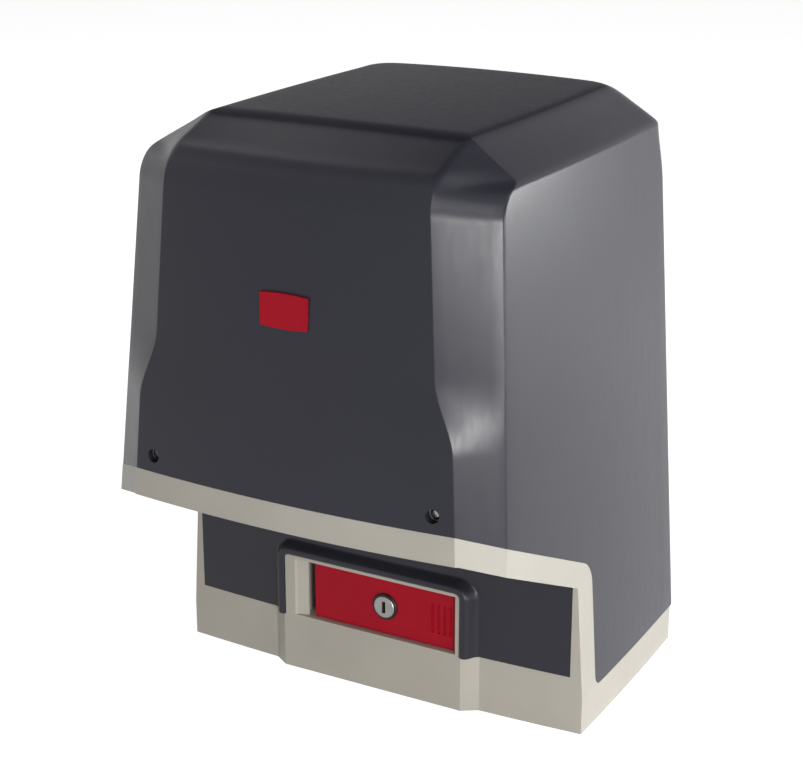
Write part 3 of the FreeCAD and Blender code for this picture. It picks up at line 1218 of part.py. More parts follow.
def badge_form(grow, y0, y1):
    """Barrel-shaped plate: straight ends and slightly bulging long sides."""
    half, tall = BADGE_W / 2 + grow, BADGE_H / 2 + grow

    def p(x, z):
        return V(x, y0, BADGE_Z + z)

    edges = [Part.Arc(p(-half, tall - 0.8), p(0, tall), p(half, tall - 0.8)),
             Part.LineSegment(p(half, tall - 0.8), p(half, 0.8 - tall)),
             Part.Arc(p(half, 0.8 - tall), p(0, -tall), p(-half, 0.8 - tall)),
             Part.LineSegment(p(-half, 0.8 - tall), p(-half, tall - 0.8))]
    return Part.Face(Part.Wire([e.toShape() for e in edges])).extrude(V(0, y1 - y0, 0))


def badge():
    seat_y = panel_y(0, BADGE_Z)
    return badge_form(0, seat_y - BADGE_PROUD, seat_y + 1.0)


def cover_screws():
    face = panel_y(SCREW_X, SCREW_Z) + CUP_D
    return screws_y([(side * SCREW_X, SCREW_Z) for side in (-1, 1)], face, -1, SCREW_HEAD_R, CUP_D + 12.0)


def cover_nuts():
    """Captive nuts behind the lugs."""
    y = panel_y(SCREW_X, SCREW_Z) + COVER_WALL + LUG_GAP + LUG_T + FIT
    return group([hex_head(x, SCREW_Z, y, y + 3, 7).cut(pin_y(x, SCREW_Z, y - 1, y + 4, SCREW_R))
                  for x in (-SCREW_X, SCREW_X)])


# ---------------------------------------------------------------- all nodes
def lid_screws():
    return screws_y(lid_screw_places(), CASING_Y0 - LID_T, -1, CASING_WALL / 2 - 0.2, LID_T + 8)


def plate_screws():
    return screws_y(plate_screw_places(), REAR_Y, 1, SCREW_HEAD_R, PLATE_T + 8)


NODES = [
    base_housing, front_insert, cable_grommet, hinge_pin, release_door, lock_barrel, lock_plug, lock_cam,
    release_rod, shift_fork, clutch_dog, worm_wheel, worm_shaft, output_shaft, drive_pinion, pinion_key,
    pinion_bolt, gearbox_casing, gearbox_lid, lid_screws, gearbox_bolts, output_bearings, worm_bearings,
    shaft_seal, motor_can, stator, rotor_core, motor_end_bell, encoder_disc, encoder_cap, motor_screws,
    transformer_shelf, transformer_core, transformer_clamp, board_carrier, control_board, board_screws,
    terminal_blocks, relays, capacitors, fuse_holder, controller_chip, display, button_bodies,
    rear_plate, plate_screws, limit_switch, limit_lever, limit_spring, cover, badge, cover_screws, cover_nuts,
]


def build():
    os.makedirs("parts", exist_ok=True)
    solids = {make.__name__: make() for make in NODES}
    for index in range(len(button_places())):
        solids["push_button_%d" % (index + 1)] = push_button(index)
    for name, shape in solids.items():
        shape.exportStep("parts/%s.step" % name)


build()
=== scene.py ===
import math

import bmesh
import bpy
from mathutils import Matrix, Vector


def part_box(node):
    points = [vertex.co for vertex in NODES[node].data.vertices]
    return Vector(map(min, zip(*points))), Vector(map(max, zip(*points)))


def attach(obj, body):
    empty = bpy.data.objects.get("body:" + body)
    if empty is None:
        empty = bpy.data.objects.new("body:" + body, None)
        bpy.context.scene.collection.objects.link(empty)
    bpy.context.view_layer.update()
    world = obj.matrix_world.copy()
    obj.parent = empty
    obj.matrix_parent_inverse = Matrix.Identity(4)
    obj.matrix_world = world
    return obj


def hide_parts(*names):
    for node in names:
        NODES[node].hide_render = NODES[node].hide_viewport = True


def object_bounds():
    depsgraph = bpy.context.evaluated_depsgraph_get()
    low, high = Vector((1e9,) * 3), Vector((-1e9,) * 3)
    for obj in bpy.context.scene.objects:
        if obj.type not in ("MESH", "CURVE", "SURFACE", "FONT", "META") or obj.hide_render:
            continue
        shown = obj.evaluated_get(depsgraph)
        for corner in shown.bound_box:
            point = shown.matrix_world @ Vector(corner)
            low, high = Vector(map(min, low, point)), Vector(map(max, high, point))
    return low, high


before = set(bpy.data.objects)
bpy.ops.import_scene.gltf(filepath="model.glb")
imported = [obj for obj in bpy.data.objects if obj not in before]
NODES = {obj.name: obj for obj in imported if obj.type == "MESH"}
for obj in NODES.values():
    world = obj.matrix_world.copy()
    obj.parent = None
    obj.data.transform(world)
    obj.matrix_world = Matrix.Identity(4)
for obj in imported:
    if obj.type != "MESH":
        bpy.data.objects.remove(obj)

bl_info = {
    "name": "Sliding gate motor",
    "version": (1, 0, 0),
    "blender": (4, 5, 0),
    "location": "3D View > Sidebar > Gate motor",
    "description": "Finishes of a sliding gate motor, with its cover and spring, on a studio floor",
    "category": "Object",
}

CAD_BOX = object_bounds()

# A distance from the origin that is beyond every side of the part.
FAR = 0.3


# ---------------------------------------------------------------- properties
def size(name, default, description, low=0.0):
    return bpy.props.FloatProperty(name=name, description=description, default=default, min=low,
                                   subtype="DISTANCE", unit="LENGTH", precision=5)


def angle(name, degrees, description):
    return bpy.props.FloatProperty(name=name, description=description, default=math.radians(degrees),
                                   subtype="ANGLE", unit="ROTATION")


def colour(name, default, description):
    return bpy.props.FloatVectorProperty(name=name, description=description, default=default, size=3,
                                         subtype="COLOR", min=0.0, max=1.0)


class GateMotorSizes(bpy.types.PropertyGroup):
    """Sizes that the finish adds to the solid model."""
    edge_r: size("Edge radius", 0.0022, "Rounding between the cover's front panel and its slanted strips")
    crease_r: size("Crease radius", 0.0022, "Rounding between those strips and the side walls")
    plastic_grain: size("Plastic grain", 0.0009, "Width of the moulded plastic's fine grain")
    cast_grain: size("Cast grain", 0.0014, "Width of the die casting's grain")
    spring_wire: size("Spring wire", 0.0011, "Thickness of the limit finger's spring wire")
    transformer_bore: size("Transformer bore", 0.0137, "Radius of the hole through the ring transformer")
    tape_lap: bpy.props.FloatProperty(name="Tape lap", default=0.03, min=0.0, max=0.2,
                                      description="Step of each turn of tape as a share of the ring")
    camera_lens: bpy.props.FloatProperty(name="Lens", description="Focal length of the camera", default=84.1,
                                         min=10.0, subtype="DISTANCE_CAMERA", unit="CAMERA")


class GateMotorCover(bpy.types.PropertyGroup):
    """Form of the lift-off cover: heights above the ground, half widths, leans and bows."""
    wall: size("Wall", 0.003, "Thickness of the shell")
    foot_z: size("Foot", 0.021, "Lower edge of the side walls")
    panel_foot_z: size("Panel foot", 0.1443, "Lower edge of the front panel")
    waist_low: size("Waist low", 0.184, "Height where the front panel starts to narrow")
    waist_high: size("Waist high", 0.222, "Height where the front panel stops narrowing")
    side_top: size("Side top", 0.3125, "Upper edge of the side walls")
    top: size("Top", 0.333, "Crown of the roof")
    half_width: size("Half width", 0.125, "Half width at the foot")
    side_lean: angle("Side lean", 3.8, "Lean of the side walls")
    side_bow: size("Side bow", 0.0025, "Bulge of the side walls in plan")
    corner_y: size("Corner", -0.1455, "Front edge of the side walls at the panel's foot", -1.0)
    corner_lean: angle("Corner lean", 4.5, "Lean of that edge")
    corner_bend: size("Corner bend", 0.017, "Rounding of that edge below the roof")
    panel_y: size("Panel", -0.161, "Front panel at its foot", -1.0)
    panel_lean: angle("Panel lean", 3.2, "Lean of the front panel")
    panel_bow: size("Panel bow", 0.0055, "Bulge of the front panel in plan")
    panel_low: size("Panel low", 0.096, "Half width of the panel below the waist")
    panel_high: size("Panel high", 0.082, "Half width of the panel above the waist")
    panel_taper: size("Panel taper", 0.065, "Narrowing of the panel per unit of height")
    brow_r: size("Brow", 0.025, "Bend of the front panel into the slanted brow")
    brow_slope: angle("Brow slope", 24.0, "Fall of the brow")
    roof_front: size("Roof front", -0.110, "Front edge of the flat roof", -1.0)
    rear_y: size("Rear", 0.070, "Rear wall at its foot")
    rear_lean: angle("Rear lean", 0.5, "Lean of the rear wall")
    rear_r: size("Rear corner", 0.008, "Rounding of the rear corners in plan")
    roof_r: size("Roof edge", 0.008, "Rounding of the roof's rear edge")
    roof_soft: size("Roof softening", 0.0036, "Height over which the slopes run out into the roof")
    crown: size("Crown", 0.0018, "Fall of the roof towards its sides")
    strap_y: size("Strap", -0.052, "Rear edge of the base's upright strap", -1.0)
    strap_r: size("Strap bend", 0.016, "Bend of the lower edge into the strap")
    strap_foot_r: size("Strap foot bend", 0.006, "Bend of the strap into the foot")
    tray_slope: angle("Tray slope", 25.2, "Slope of the lower edge over the tray")
    arch_half: size("Arch half width", 0.0464, "Half width of the opening in the rear wall")
    arch_top: size("Arch top", 0.1964, "Top of that opening")


class GateMotorFront(bpy.types.PropertyGroup):
    """Form of the dark insert with its hood, and of the cover screws."""
    bow: size("Bow", 0.0045, "Bulge of the insert in plan")
    face_y: size("Face", -0.070, "Insert at the base's side walls", -1.0)
    half: size("Half width", 0.120, "Half width of the insert")
    thickness: size("Thickness", 0.003, "Thickness of the insert")
    corner_r: size("Corner", 0.005, "Rounding of the insert's upper corners")
    pod_y: size("Pod", -0.079, "Face of the pale pod", -1.0)
    window_half: size("Window half width", 0.0568, "Half width of the hood's window")
    window_top: size("Window top", 0.071, "Upper edge of the hood's window")
    window_r: size("Window corner", 0.0035, "Rounding of the window's upper corners")
    hood_reach: size("Hood reach", 0.0012, "How far the hood stands ahead of the pod")
    hood_round: size("Hood rounding", 0.0014, "Rounding of the hood's inner edge")
    hood_flat: size("Hood flat", 0.0032, "Width of the hood's rim")
    flank_side: size("Side flank", 0.0060, "Width of the hollow flank beside the hood")
    flank_top: size("Top flank", 0.0048, "Width of the hollow flank above the hood")
    lock_r: size("Lock face radius", 0.0064, "Radius of the lock's turned face")
    lock_dome: size("Lock face height", 0.0009, "Height of that face")
    keyway: size("Keyway", 0.0022, "Width of the keyway")
    lip_gap: size("Lip gap", 0.0035, "Dark gap between the frame's lip and the door")
    lip_width: size("Lip width", 0.0085, "Width of the frame's slanted lip")
    lip_edge: size("Lip edge", 0.001, "Thickness of the lip's edge")
    screw_x: size("Screw place", 0.084, "Cover screws from the middle")
    screw_z: size("Screw height", 0.1534, "Height of the cover screws")
    cup_r: size("Cup radius", 0.0037, "Radius of the cups round the cover screws")
    cup_depth: size("Cup depth", 0.0052, "Depth of the cups")
    boss_r: size("Boss radius", 0.0056, "Radius of the bosses round the screws")
    head_r: size("Head radius", 0.0032, "Radius of the screw heads")
    shank_r: size("Shank radius", 0.0020, "Radius of the screws' shanks")


class GateMotorColours(bpy.types.PropertyGroup):
    """Colours of the moulded plastics and of the floor."""
    cover: colour("Cover", (0.017, 0.017, 0.027), "Blue-grey satin plastic of the lift-off cover")
    insert: colour("Insert", (0.015, 0.015, 0.024), "Dark blue-grey plastic round the release door")
    base: colour("Base", (0.455, 0.428, 0.372), "Warm pale grey plastic of the base")
    red: colour("Red", (0.40, 0.005, 0.018), "Deep red plastic of the door and the badge")
    floor: colour("Floor", (0.72, 0.72, 0.72), "Pale studio floor")


def sizes():
    return bpy.context.scene.gate_motor_sizes


def cover_form():
    return bpy.context.scene.gate_motor_cover


def front_form():
    return bpy.context.scene.gate_motor_front


def colours():
    return bpy.context.scene.gate_motor_colours


# ---------------------------------------------------------------- material helpers
def new_material(name):
    material = bpy.data.materials.new(name)
    material.use_nodes = True
    nodes = material.node_tree.nodes
    nodes.clear()
    shader = nodes.new("ShaderNodeBsdfPrincipled")
    output = nodes.new("ShaderNodeOutputMaterial")
    material.node_tree.links.new(shader.outputs[0], output.inputs["Surface"])
    return material, shader


def object_space(material, stretch=(1, 1, 1)):
    """Coordinates in the part's own frame, in metres, stretched per axis."""
    tree = material.node_tree
    source = tree.nodes.new("ShaderNodeTexCoord")
    mapping = tree.nodes.new("ShaderNodeMapping")
    mapping.inputs["Scale"].default_value = stretch
    tree.links.new(source.outputs["Object"], mapping.inputs["Vector"])
    return mapping.outputs["Vector"]


def noise(material, width, detail=2.0, stretch=(1, 1, 1), rough=0.5):
    node = material.node_tree.nodes.new("ShaderNodeTexNoise")
    node.inputs["Scale"].default_value = 1.0 / width
    node.inputs["Detail"].default_value = detail
    node.inputs["Roughness"].default_value = rough
    material.node_tree.links.new(object_space(material, stretch), node.inputs["Vector"])
    return node.outputs["Fac"]


def spread(material, factor, low, high, start=0.3, end=0.7):
    """Maps a texture's value to the range low..high."""
    node = material.node_tree.nodes.new("ShaderNodeMapRange")
    for name, value in (("From Min", start), ("From Max", end), ("To Min", low), ("To Max", high)):
        node.inputs[name].default_value = value
    material.node_tree.links.new(factor, node.inputs["Value"])
    return node.outputs["Result"]


def tinted(material, shader, base, factor, amount):
    """Base colour that drifts by amount between a darker and a lighter shade."""
    node = material.node_tree.nodes.new("ShaderNodeMix")
    node.data_type = "RGBA"
    node.inputs[6].default_value = [c * (1 - amount) for c in base] + [1.0]
    node.inputs[7].default_value = [min(c * (1 + amount), 1.0) for c in base] + [1.0]
    material.node_tree.links.new(factor, node.inputs[0])
    material.node_tree.links.new(node.outputs[2], shader.inputs["Base Color"])


def bumped(material, shader, heights):
    """Chains one bump per (factor, strength, distance) onto the shader."""
    tree = material.node_tree
    normal = None
    for factor, strength, distance in heights:
        node = tree.nodes.new("ShaderNodeBump")
        node.inputs["Strength"].default_value = strength
        node.inputs["Distance"].default_value = distance
        tree.links.new(factor, node.inputs["Height"])
        if normal is not None:
            tree.links.new(normal, node.inputs["Normal"])
        normal = node.outputs["Normal"]
    tree.links.new(normal, shader.inputs["Normal"])


def moulded(name, base, rough, grain, drift=0.06, bump=0.12, specular=0.5):
    """Moulded plastic: fine grain, slow drift of shade and gloss, faint rub marks."""
    material, shader = new_material(name)
    shader.inputs["Specular IOR Level"].default_value = specular
    slow = noise(material, 0.05, 3.0)
    fine = noise(material, grain, 2.0)
    rub = noise(material, 0.004, 4.0, (1, 1, 0.25), 0.6)
    tinted(material, shader, base, spread(material, slow, 0.0, 1.0), drift)
    gloss = spread(material, rub, rough * 0.92, rough * 1.1)
    material.node_tree.links.new(gloss, shader.inputs["Roughness"])
    bumped(material, shader, [(fine, bump, 0.00005), (slow, 0.25, 0.0004)])
    return material


def painted_roof_shade(material, walls, roof):
    """Painted shade: faces that look up shine less than the walls do, so the roof renders darker."""
    tree = material.node_tree
    facing = tree.nodes.new("ShaderNodeNewGeometry")
    parts = tree.nodes.new("ShaderNodeSeparateXYZ")
    tree.links.new(facing.outputs["Normal"], parts.inputs[0])
    shader = [n for n in tree.nodes if n.type == "BSDF_PRINCIPLED"][0]
    shine = spread(material, parts.outputs["Z"], walls, roof, 0.6, 0.95)
    tree.links.new(shine, shader.inputs["Specular IOR Level"])


def metal(name, base, rough, stretch=(1, 1, 1), marks=0.0006, bump=0.15, drift=0.12):
    """Bare metal with tool marks along one axis and slightly uneven shade."""
    material, shader = new_material(name)
    shader.inputs["Metallic"].default_value = 1.0
    lines = noise(material, marks, 3.0, stretch, 0.6)
    slow = noise(material, 0.012, 3.0)
    tinted(material, shader, base, spread(material, slow, 0.0, 1.0), drift)
    gloss = spread(material, lines, rough * 0.75, rough * 1.3)
    material.node_tree.links.new(gloss, shader.inputs["Roughness"])
    bumped(material, shader, [(lines, bump, 0.00004)])
    return material


def finish_nodes(material, *names):
    """Gives each named solid that one material."""
    for name in names:
        slots = NODES[name].data.materials
        slots.clear()
        slots.append(material)


# ---------------------------------------------------------------- mesh helpers
def mesh_object(name, verts, faces, material=None):
    mesh = bpy.data.meshes.new(name)
    mesh.from_pydata([Vector(v) for v in verts], [], faces)
    mesh.validate()
    mesh.update()
    piece = bpy.data.objects.new(name, mesh)
    bpy.context.scene.collection.objects.link(piece)
    if material:
        mesh.materials.append(material)
    return piece


def combined(piece, other, operation):
    """Joins or cuts piece by a helper solid, which is then deleted."""
    modifier = piece.modifiers.new("combine", "BOOLEAN")
    modifier.operation = operation
    modifier.solver = "EXACT"
    modifier.object = other
    graph = bpy.context.evaluated_depsgraph_get()
    result = bpy.data.meshes.new_from_object(piece.evaluated_get(graph))
    piece.modifiers.clear()
    old = piece.data
    piece.data = result
    bpy.data.meshes.remove(old)
    bpy.data.meshes.remove(other.data)


def soften(piece, degrees=30.0):
    """Smooth shading, with edges sharper than the angle kept crisp."""
    mesh = piece.data
    for polygon in mesh.polygons:
        polygon.use_smooth = True
    mesh.set_sharp_from_angle(angle=math.radians(degrees))


def settle(piece, body, slot_name, *nodes):
    """Lets the piece ride a body and stand for solids, which it hides. The slot name is not used."""
    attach(piece, body)
    if nodes:
        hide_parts(*nodes)
    return piece


def stacked(rings):
    """Closed surface through rings of equally many points, with flat ends."""
    count = len(rings[0])
    verts = [point for ring in rings for point in ring]
    faces = []
    for i in range(len(rings) - 1):
        for k in range(count):
            n = (k + 1) % count
            a, b = i * count, (i + 1) * count
            faces.append((a + k, a + n, b + n, b + k))
    faces.append(tuple(reversed(range(count))))
    last = (len(rings) - 1) * count
    faces.append(tuple(last + k for k in range(count)))
    return verts, faces


def prism(name, outline, low, high, axis):
    """Solid with that outline in the two other axes, from low to high along the axis."""
    def place(u, v, w):
        return {"X": (w, u, v), "Y": (u, w, v), "Z": (u, v, w)}[axis]
    piece = mesh_object(name, *stacked([[place(u, v, w) for u, v in outline] for w in (low, high)]))
    outward(piece)
    return piece


def outward(piece):
    """Turns the faces of a closed solid outwards."""
    graph = bmesh.new()
    graph.from_mesh(piece.data)
    bmesh.ops.recalc_face_normals(graph, faces=graph.faces)
    graph.to_mesh(piece.data)
    graph.free()


def circle(u, v, radius, sides=48):
    turns = [2 * math.pi * k / sides for k in range(sides)]
    return [(u + radius * math.cos(t), v + radius * math.sin(t)) for t in turns]


def bend(before, corner, after, radius, steps=6, most=0.45):
    """Rounded corner between two straight runs, a quadratic curve over at most that share of each."""
    back, on = (before - corner), (after - corner)
    turn = math.pi - back.angle(on)
    reach = min(radius * math.tan(turn / 2), back.length * most, on.length * most)
    first, last = corner + back.normalized() * reach, corner + on.normalized() * reach
    points = []
    for k in range(steps + 1):
        t = k / steps
        points.append(first * (1 - t) ** 2 + corner * (2 * t * (1 - t)) + last * t ** 2)
    return points


def rounded(corners_radii, steps=6):
    """Outline through corners (u, v, radius); a radius of 0 keeps the corner sharp."""
    count = len(corners_radii)
    points = []
    for i, (u, v, radius) in enumerate(corners_radii):
        before, after = corners_radii[i - 1], corners_radii[(i + 1) % count]
        if radius:
            points += bend(Vector(before[:2]), Vector((u, v)), Vector(after[:2]), radius, steps)
        else:
            points.append(Vector((u, v)))
    return [tuple(p) for p in points]


def lathe_y(name, x, z, profile, sides=40):
    """Solid turned about a line along Y, from (radius, y) points."""
    rings = [[(u, y, v) for u, v in circle(x, z, radius, sides)] for radius, y in profile]
    piece = mesh_object(name, *stacked(rings))
    outward(piece)
    return piece


def span(low, high, step):
    """Even steps from low up to, but not onto, high."""
    count = max(1, round((high - low) / step))
    return [low + (high - low) * k / count for k in range(count)]


def graded(low, fine_low, fine_high, high, before, fine, after):
    """Steps from low to high, at the fine spacing between the two fine limits."""
    steps = span(low, fine_low, before) + span(fine_low, fine_high, fine)
    return steps + span(fine_high, high, after) + [high]


def eased(value, low, high):
    """0 up to low, 1 from high, and a smooth rise between."""
    t = min(max((value - low) / (high - low), 0.0), 1.0)
    return t * t * (3 - 2 * t)


def tube_along(path, radius, sides=10):
    """Vertices and faces of a round wire that follows the points."""
    verts, faces = [], []
    last = len(path) - 1
    askew = Vector((0.31, 0.17, 0.93))
    for i, point in enumerate(path):
        along = (path[min(i + 1, last)] - path[max(i - 1, 0)]).normalized()
        side = along.cross(askew).normalized()
        up = along.cross(side)
        for k in range(sides):
            turn = 2 * math.pi * k / sides
            verts.append(point + (side * math.cos(turn) + up * math.sin(turn)) * radius)
    for i in range(last):
        for k in range(sides):
            a, b, n = i * sides, (i + 1) * sides, (k + 1) % sides
            faces.append((a + k, b + k, b + n, a + n))
    faces.append(tuple(range(sides)))
    faces.append(tuple(last * sides + k for k in reversed(range(sides))))
    return verts, faces


# ---------------------------------------------------------------- the cover's form
# The slanted strips between panel and sides keep this width and depth where they run out.
STRIP_WIDTH = 0.001
STRIP_DEPTH = 0.0005

# Depth of a side wall at which it bulges by the whole side bow.
BOW_DEPTH = 0.231

# Above the side walls the shell thins by this share, and its edges are rounded this much more.
ROOF_THINNING = 0.65
FRONT_EDGE_GROWTH = 4.5
FRONT_EDGE_BLEND = 0.006
REAR_EDGE_GROWTH = 1.2
REAR_EDGE_BLEND = 0.032

# Spacing of the outlines in height, and the points along their long and short runs.
FOOT_STEP = 0.006
WALL_STEP = 0.005
WAIST_STEP = 0.0019
ROOF_STEP = 0.0012
SHOULDER_Z = 0.29
LONG_RUN = 18
SHORT_RUN = 6
SOFT_RINGS = 8
ROOF_RINGS = (0.93, 0.8, 0.6, 0.4, 0.2, 0.04)


class CoverOutlines:
    """Horizontal outlines of the cover's outer or inner skin, from its foot to its roof."""

    def __init__(self, wall=0.0):
        self.form = cover_form()
        self.wall = wall

    def panel_half(self, z):
        """Half width of the front panel, wide below the waist and narrow above it."""
        f = self.form
        low = f.panel_low - (z - f.panel_foot_z) * f.panel_taper
        high = f.panel_high - (z - f.waist_high) * f.panel_taper
        return low + (high - low) * eased(z, f.waist_low, f.waist_high)

    def side_half(self, z):
        """Leaning side walls, and the slopes that run in to the roof's panel."""
        f = self.form
        wall_z = min(max(z, f.foot_z), f.side_top)
        half = f.half_width - (wall_z - f.foot_z) * math.tan(f.side_lean)
        if z > f.side_top:
            roof = self.panel_half(f.top) + STRIP_WIDTH
            half += (roof - half) * (z - f.side_top) / (f.top - f.side_top)
        return half

    def panel_line(self, z):
        """Front panel, the bend of the brow and the brow, in side view."""
        f = self.form
        lean, slope, r = math.tan(f.panel_lean), math.tan(f.brow_slope), f.brow_r
        start = f.panel_y - f.panel_foot_z * lean + r * math.hypot(1, lean)
        crest = f.top - f.roof_front * slope - r * math.hypot(1, slope)
        centre_y = (start + lean * crest) / (1 - lean * slope)
        centre_z = crest + slope * centre_y
        if z < centre_z + r * lean / math.hypot(1, lean):
            return f.panel_y + (z - f.panel_foot_z) * lean
        if z < centre_z + r / math.hypot(1, slope):
            return centre_y - math.sqrt(r * r - (z - centre_z) ** 2)
        return f.roof_front - (f.top - z) / slope

    def corner_line(self, z):
        """Front edge of the side walls, in side view."""
        f = self.form
        lean, start = math.tan(f.corner_lean), f.side_top - f.corner_bend
        if z < start:
            return f.corner_y + (z - f.panel_foot_z) * lean
        centre = f.corner_y + (start - f.panel_foot_z) * lean + f.corner_bend
        if z < f.side_top:
            return centre - math.sqrt(f.corner_bend ** 2 - (z - start) ** 2)
        return centre + (f.roof_front - centre) * (z - f.side_top) / (f.top - f.side_top)

    def rear_line(self, z):
        """Rear wall and its bend into the roof, in side view."""
        f = self.form
        rear = f.rear_y - max(z - f.foot_z, 0) * math.tan(f.rear_lean)
        rise = z - (f.top - f.roof_r)
        if rise > 0:
            rear -= f.roof_r - math.sqrt(max(f.roof_r ** 2 - rise ** 2, 0))
        return rear

    def softly(self, line, z, reach=0.0012, probe=0.002):
        """The line's value at z, averaged over a short stretch and run out flat into the roof."""
        f = self.form
        edge = f.top - f.roof_soft
        level = min(z, edge)
        value = sum(line(min(level + reach * k / 3, f.top)) for k in range(-3, 4)) / 7
        if z > edge:
            slope = (line(edge) - line(edge - probe)) / probe
            value += 2 * f.roof_soft * slope * (1 - math.sqrt(max(f.top - z, 0) / f.roof_soft))
        return value

    def outline(self, z):
        """Points of the outline at height z, from the middle of the front round by +X."""
        f, w = self.form, self.wall
        level = min(z + w * eased(z, f.foot_z, f.side_top - f.corner_bend), f.top)
        inset = w * (1 - ROOF_THINNING * eased(level, f.side_top - f.corner_bend, f.side_top))
        half = self.softly(self.side_half, level)
        corner = self.softly(self.corner_line, level)
        panel = self.softly(self.panel_half, level)
        front = self.softly(self.panel_line, level)
        panel, corner = min(panel, half - STRIP_WIDTH), max(corner, front + STRIP_DEPTH)
        slant = math.atan2(corner - front, half - panel)
        half, corner = half - inset, corner + inset * math.tan(math.pi / 4 - slant / 2)
        panel, front = panel - inset * math.tan(slant / 2), front + inset
        rear = self.rear_line(level) - w
        near_top = eased(level, f.side_top - FRONT_EDGE_BLEND, f.side_top + FRONT_EDGE_BLEND)
        edge_r = sizes().edge_r * (1 + FRONT_EDGE_GROWTH * near_top)
        rear_r = f.rear_r * (1 + REAR_EDGE_GROWTH * eased(level, f.side_top - REAR_EDGE_BLEND, f.side_top))
        depth = rear - rear_r - corner

        def bowed_front(x):
            return Vector((x, front - f.panel_bow * (1 - (x / panel) ** 2)))

        def bowed_side(y):
            share = min(max((y - corner) / depth, 0.0), 1.0)
            return Vector((half + 4 * f.side_bow * depth / BOW_DEPTH * share * (1 - share), y))

        # A point a little way along each run gives the bend its direction.
        near = bend(bowed_front(panel * 0.9), bowed_front(panel), Vector((half, corner)), edge_r)
        side_start = bowed_side(corner + depth * 0.1)
        far = bend(Vector((panel, front)), Vector((half, corner)), side_start, sizes().crease_r)
        back = bend(bowed_side(rear - rear_r * 1.6), Vector((half, rear)), Vector((0, rear)), rear_r)
        side_run = back[0].y - far[-1].y
        points = [bowed_front(near[0].x * k / LONG_RUN) for k in range(LONG_RUN)] + near
        points += [near[-1].lerp(far[0], k / SHORT_RUN) for k in range(1, SHORT_RUN)] + far
        points += [bowed_side(far[-1].y + side_run * k / LONG_RUN) for k in range(1, LONG_RUN)] + back
        points += [Vector((back[-1].x * (1 - k / SHORT_RUN), rear)) for k in range(1, SHORT_RUN + 1)]
        mirrored = [Vector((-p.x, p.y)) for p in points[1:-1]]
        return points + mirrored[::-1]

    def heights(self, low):
        """Heights of the outlines, closer together at the waist and at the roof."""
        f = self.form
        levels = span(low, f.panel_foot_z, FOOT_STEP) + span(f.panel_foot_z, f.waist_low, WALL_STEP)
        levels += span(f.waist_low, f.waist_high, WAIST_STEP) + span(f.waist_high, SHOULDER_Z, WALL_STEP)
        levels += span(SHOULDER_Z, f.top - f.roof_soft, ROOF_STEP)
        return levels + [f.top - f.roof_soft * (1 - k / SOFT_RINGS) ** 2 for k in range(SOFT_RINGS + 1)]

    def solid(self, name, low, material=None, rounding=1e-6):
        """Closed solid from low up to the roof, or to the roof's underside for the inner skin."""
        f = self.form
        rings = []
        for z in self.heights(low):
            if z + self.wall <= f.top + rounding:
                rings.append([(p.x, p.y, z) for p in self.outline(z)])
        top = rings[-1]
        middle = sum(p[1] for p in top) / len(top)
        for share in ROOF_RINGS:
            rings.append([(x * share, middle + (y - middle) * share, z) for x, y, z in top])
        verts, faces = stacked(rings)
        crowned = []
        for x, y, z in verts:
            fall = f.crown * (x / f.panel_high) ** 2 * eased(z, f.side_top, f.top)
            crowned.append((x, y, z - fall))
        piece = mesh_object(name, crowned, faces, material)
        outward(piece)
        return piece


def below_rim():
    """Everything below the cover's lower edge."""
    f = cover_form()
    knee = f.panel_foot_z - (f.strap_y - f.panel_y) * math.tan(f.tray_slope)
    return prism("below_rim", rounded([
        (-FAR, -FAR, 0), (-FAR, f.panel_foot_z, 0), (f.panel_y, f.panel_foot_z, 0),
        (f.strap_y, knee, f.strap_r), (f.strap_y, f.foot_z, f.strap_foot_r),
        (FAR, f.foot_z, 0), (FAR, -FAR, 0)], 8), -FAR, FAR, "X")


def rear_arch():
    """Opening in the rear wall for the plate that carries the pinion."""
    f = cover_form()
    steps, foot, inside, outside = 24, -0.1, 0.05, 0.1
    turns = [math.pi * k / steps for k in range(steps + 1)]
    spring = f.arch_top - f.arch_half
    outline = [(f.arch_half * math.cos(t), spring + f.arch_half * math.sin(t)) for t in turns]
    outline += [(-f.arch_half, foot), (f.arch_half, foot)]
    return prism("rear_arch", outline, inside, outside, "Y")


# ---------------------------------------------------------------- pieces
class BaseHousing(bpy.types.Operator):
    """Fine-grained pale plastic of the base and its frame's lip, and the rubber seals"""
    bl_idname = "gate_motor.base_housing"
    bl_label = "Base housing"

    def frame_lip(self, material):
        """Slanted lip of the pod's frame, which leaves a narrow gap for the door's hinged edge."""
        f = front_form()
        low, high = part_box("release_door")
        inner = low.x - f.lip_gap
        outer = inner - f.lip_width
        slant, past_door = 0.003, 0.0006
        back = f.pod_y + slant
        lip = prism("frame_lip", [(outer, f.pod_y), (inner, back), (inner, back + f.lip_edge),
                                  (outer + slant, back + f.lip_edge), (outer, f.pod_y + f.lip_edge)],
                    low.z - past_door, high.z + past_door, "Z")
        lip.data.materials.append(material)
        settle(lip, "housing", "base_shell")

    def execute(self, context):
        pale = moulded("pale plastic", colours().base, 0.36, sizes().plastic_grain, 0.05, 0.1)
        finish_nodes(pale, "base_housing")
        self.frame_lip(pale)
        rubber = moulded("rubber", (0.02, 0.02, 0.02), 0.7, 0.0012, 0.1, 0.3)
        finish_nodes(rubber, "cable_grommet", "shaft_seal")
        return {"FINISHED"}


# The insert's grid, sideways from its middle and upwards. Each holds where the fine part over the hood's
# rim starts and stops, the far edge, and the spacing before, in and after the fine part.
GRID_X = (0.052, 0.068, 0.125, 0.0065, 0.0005, 0.0057)
GRID_Z = (0.062, 0.082, 0.1, 0.004, 0.0005, 0.003)


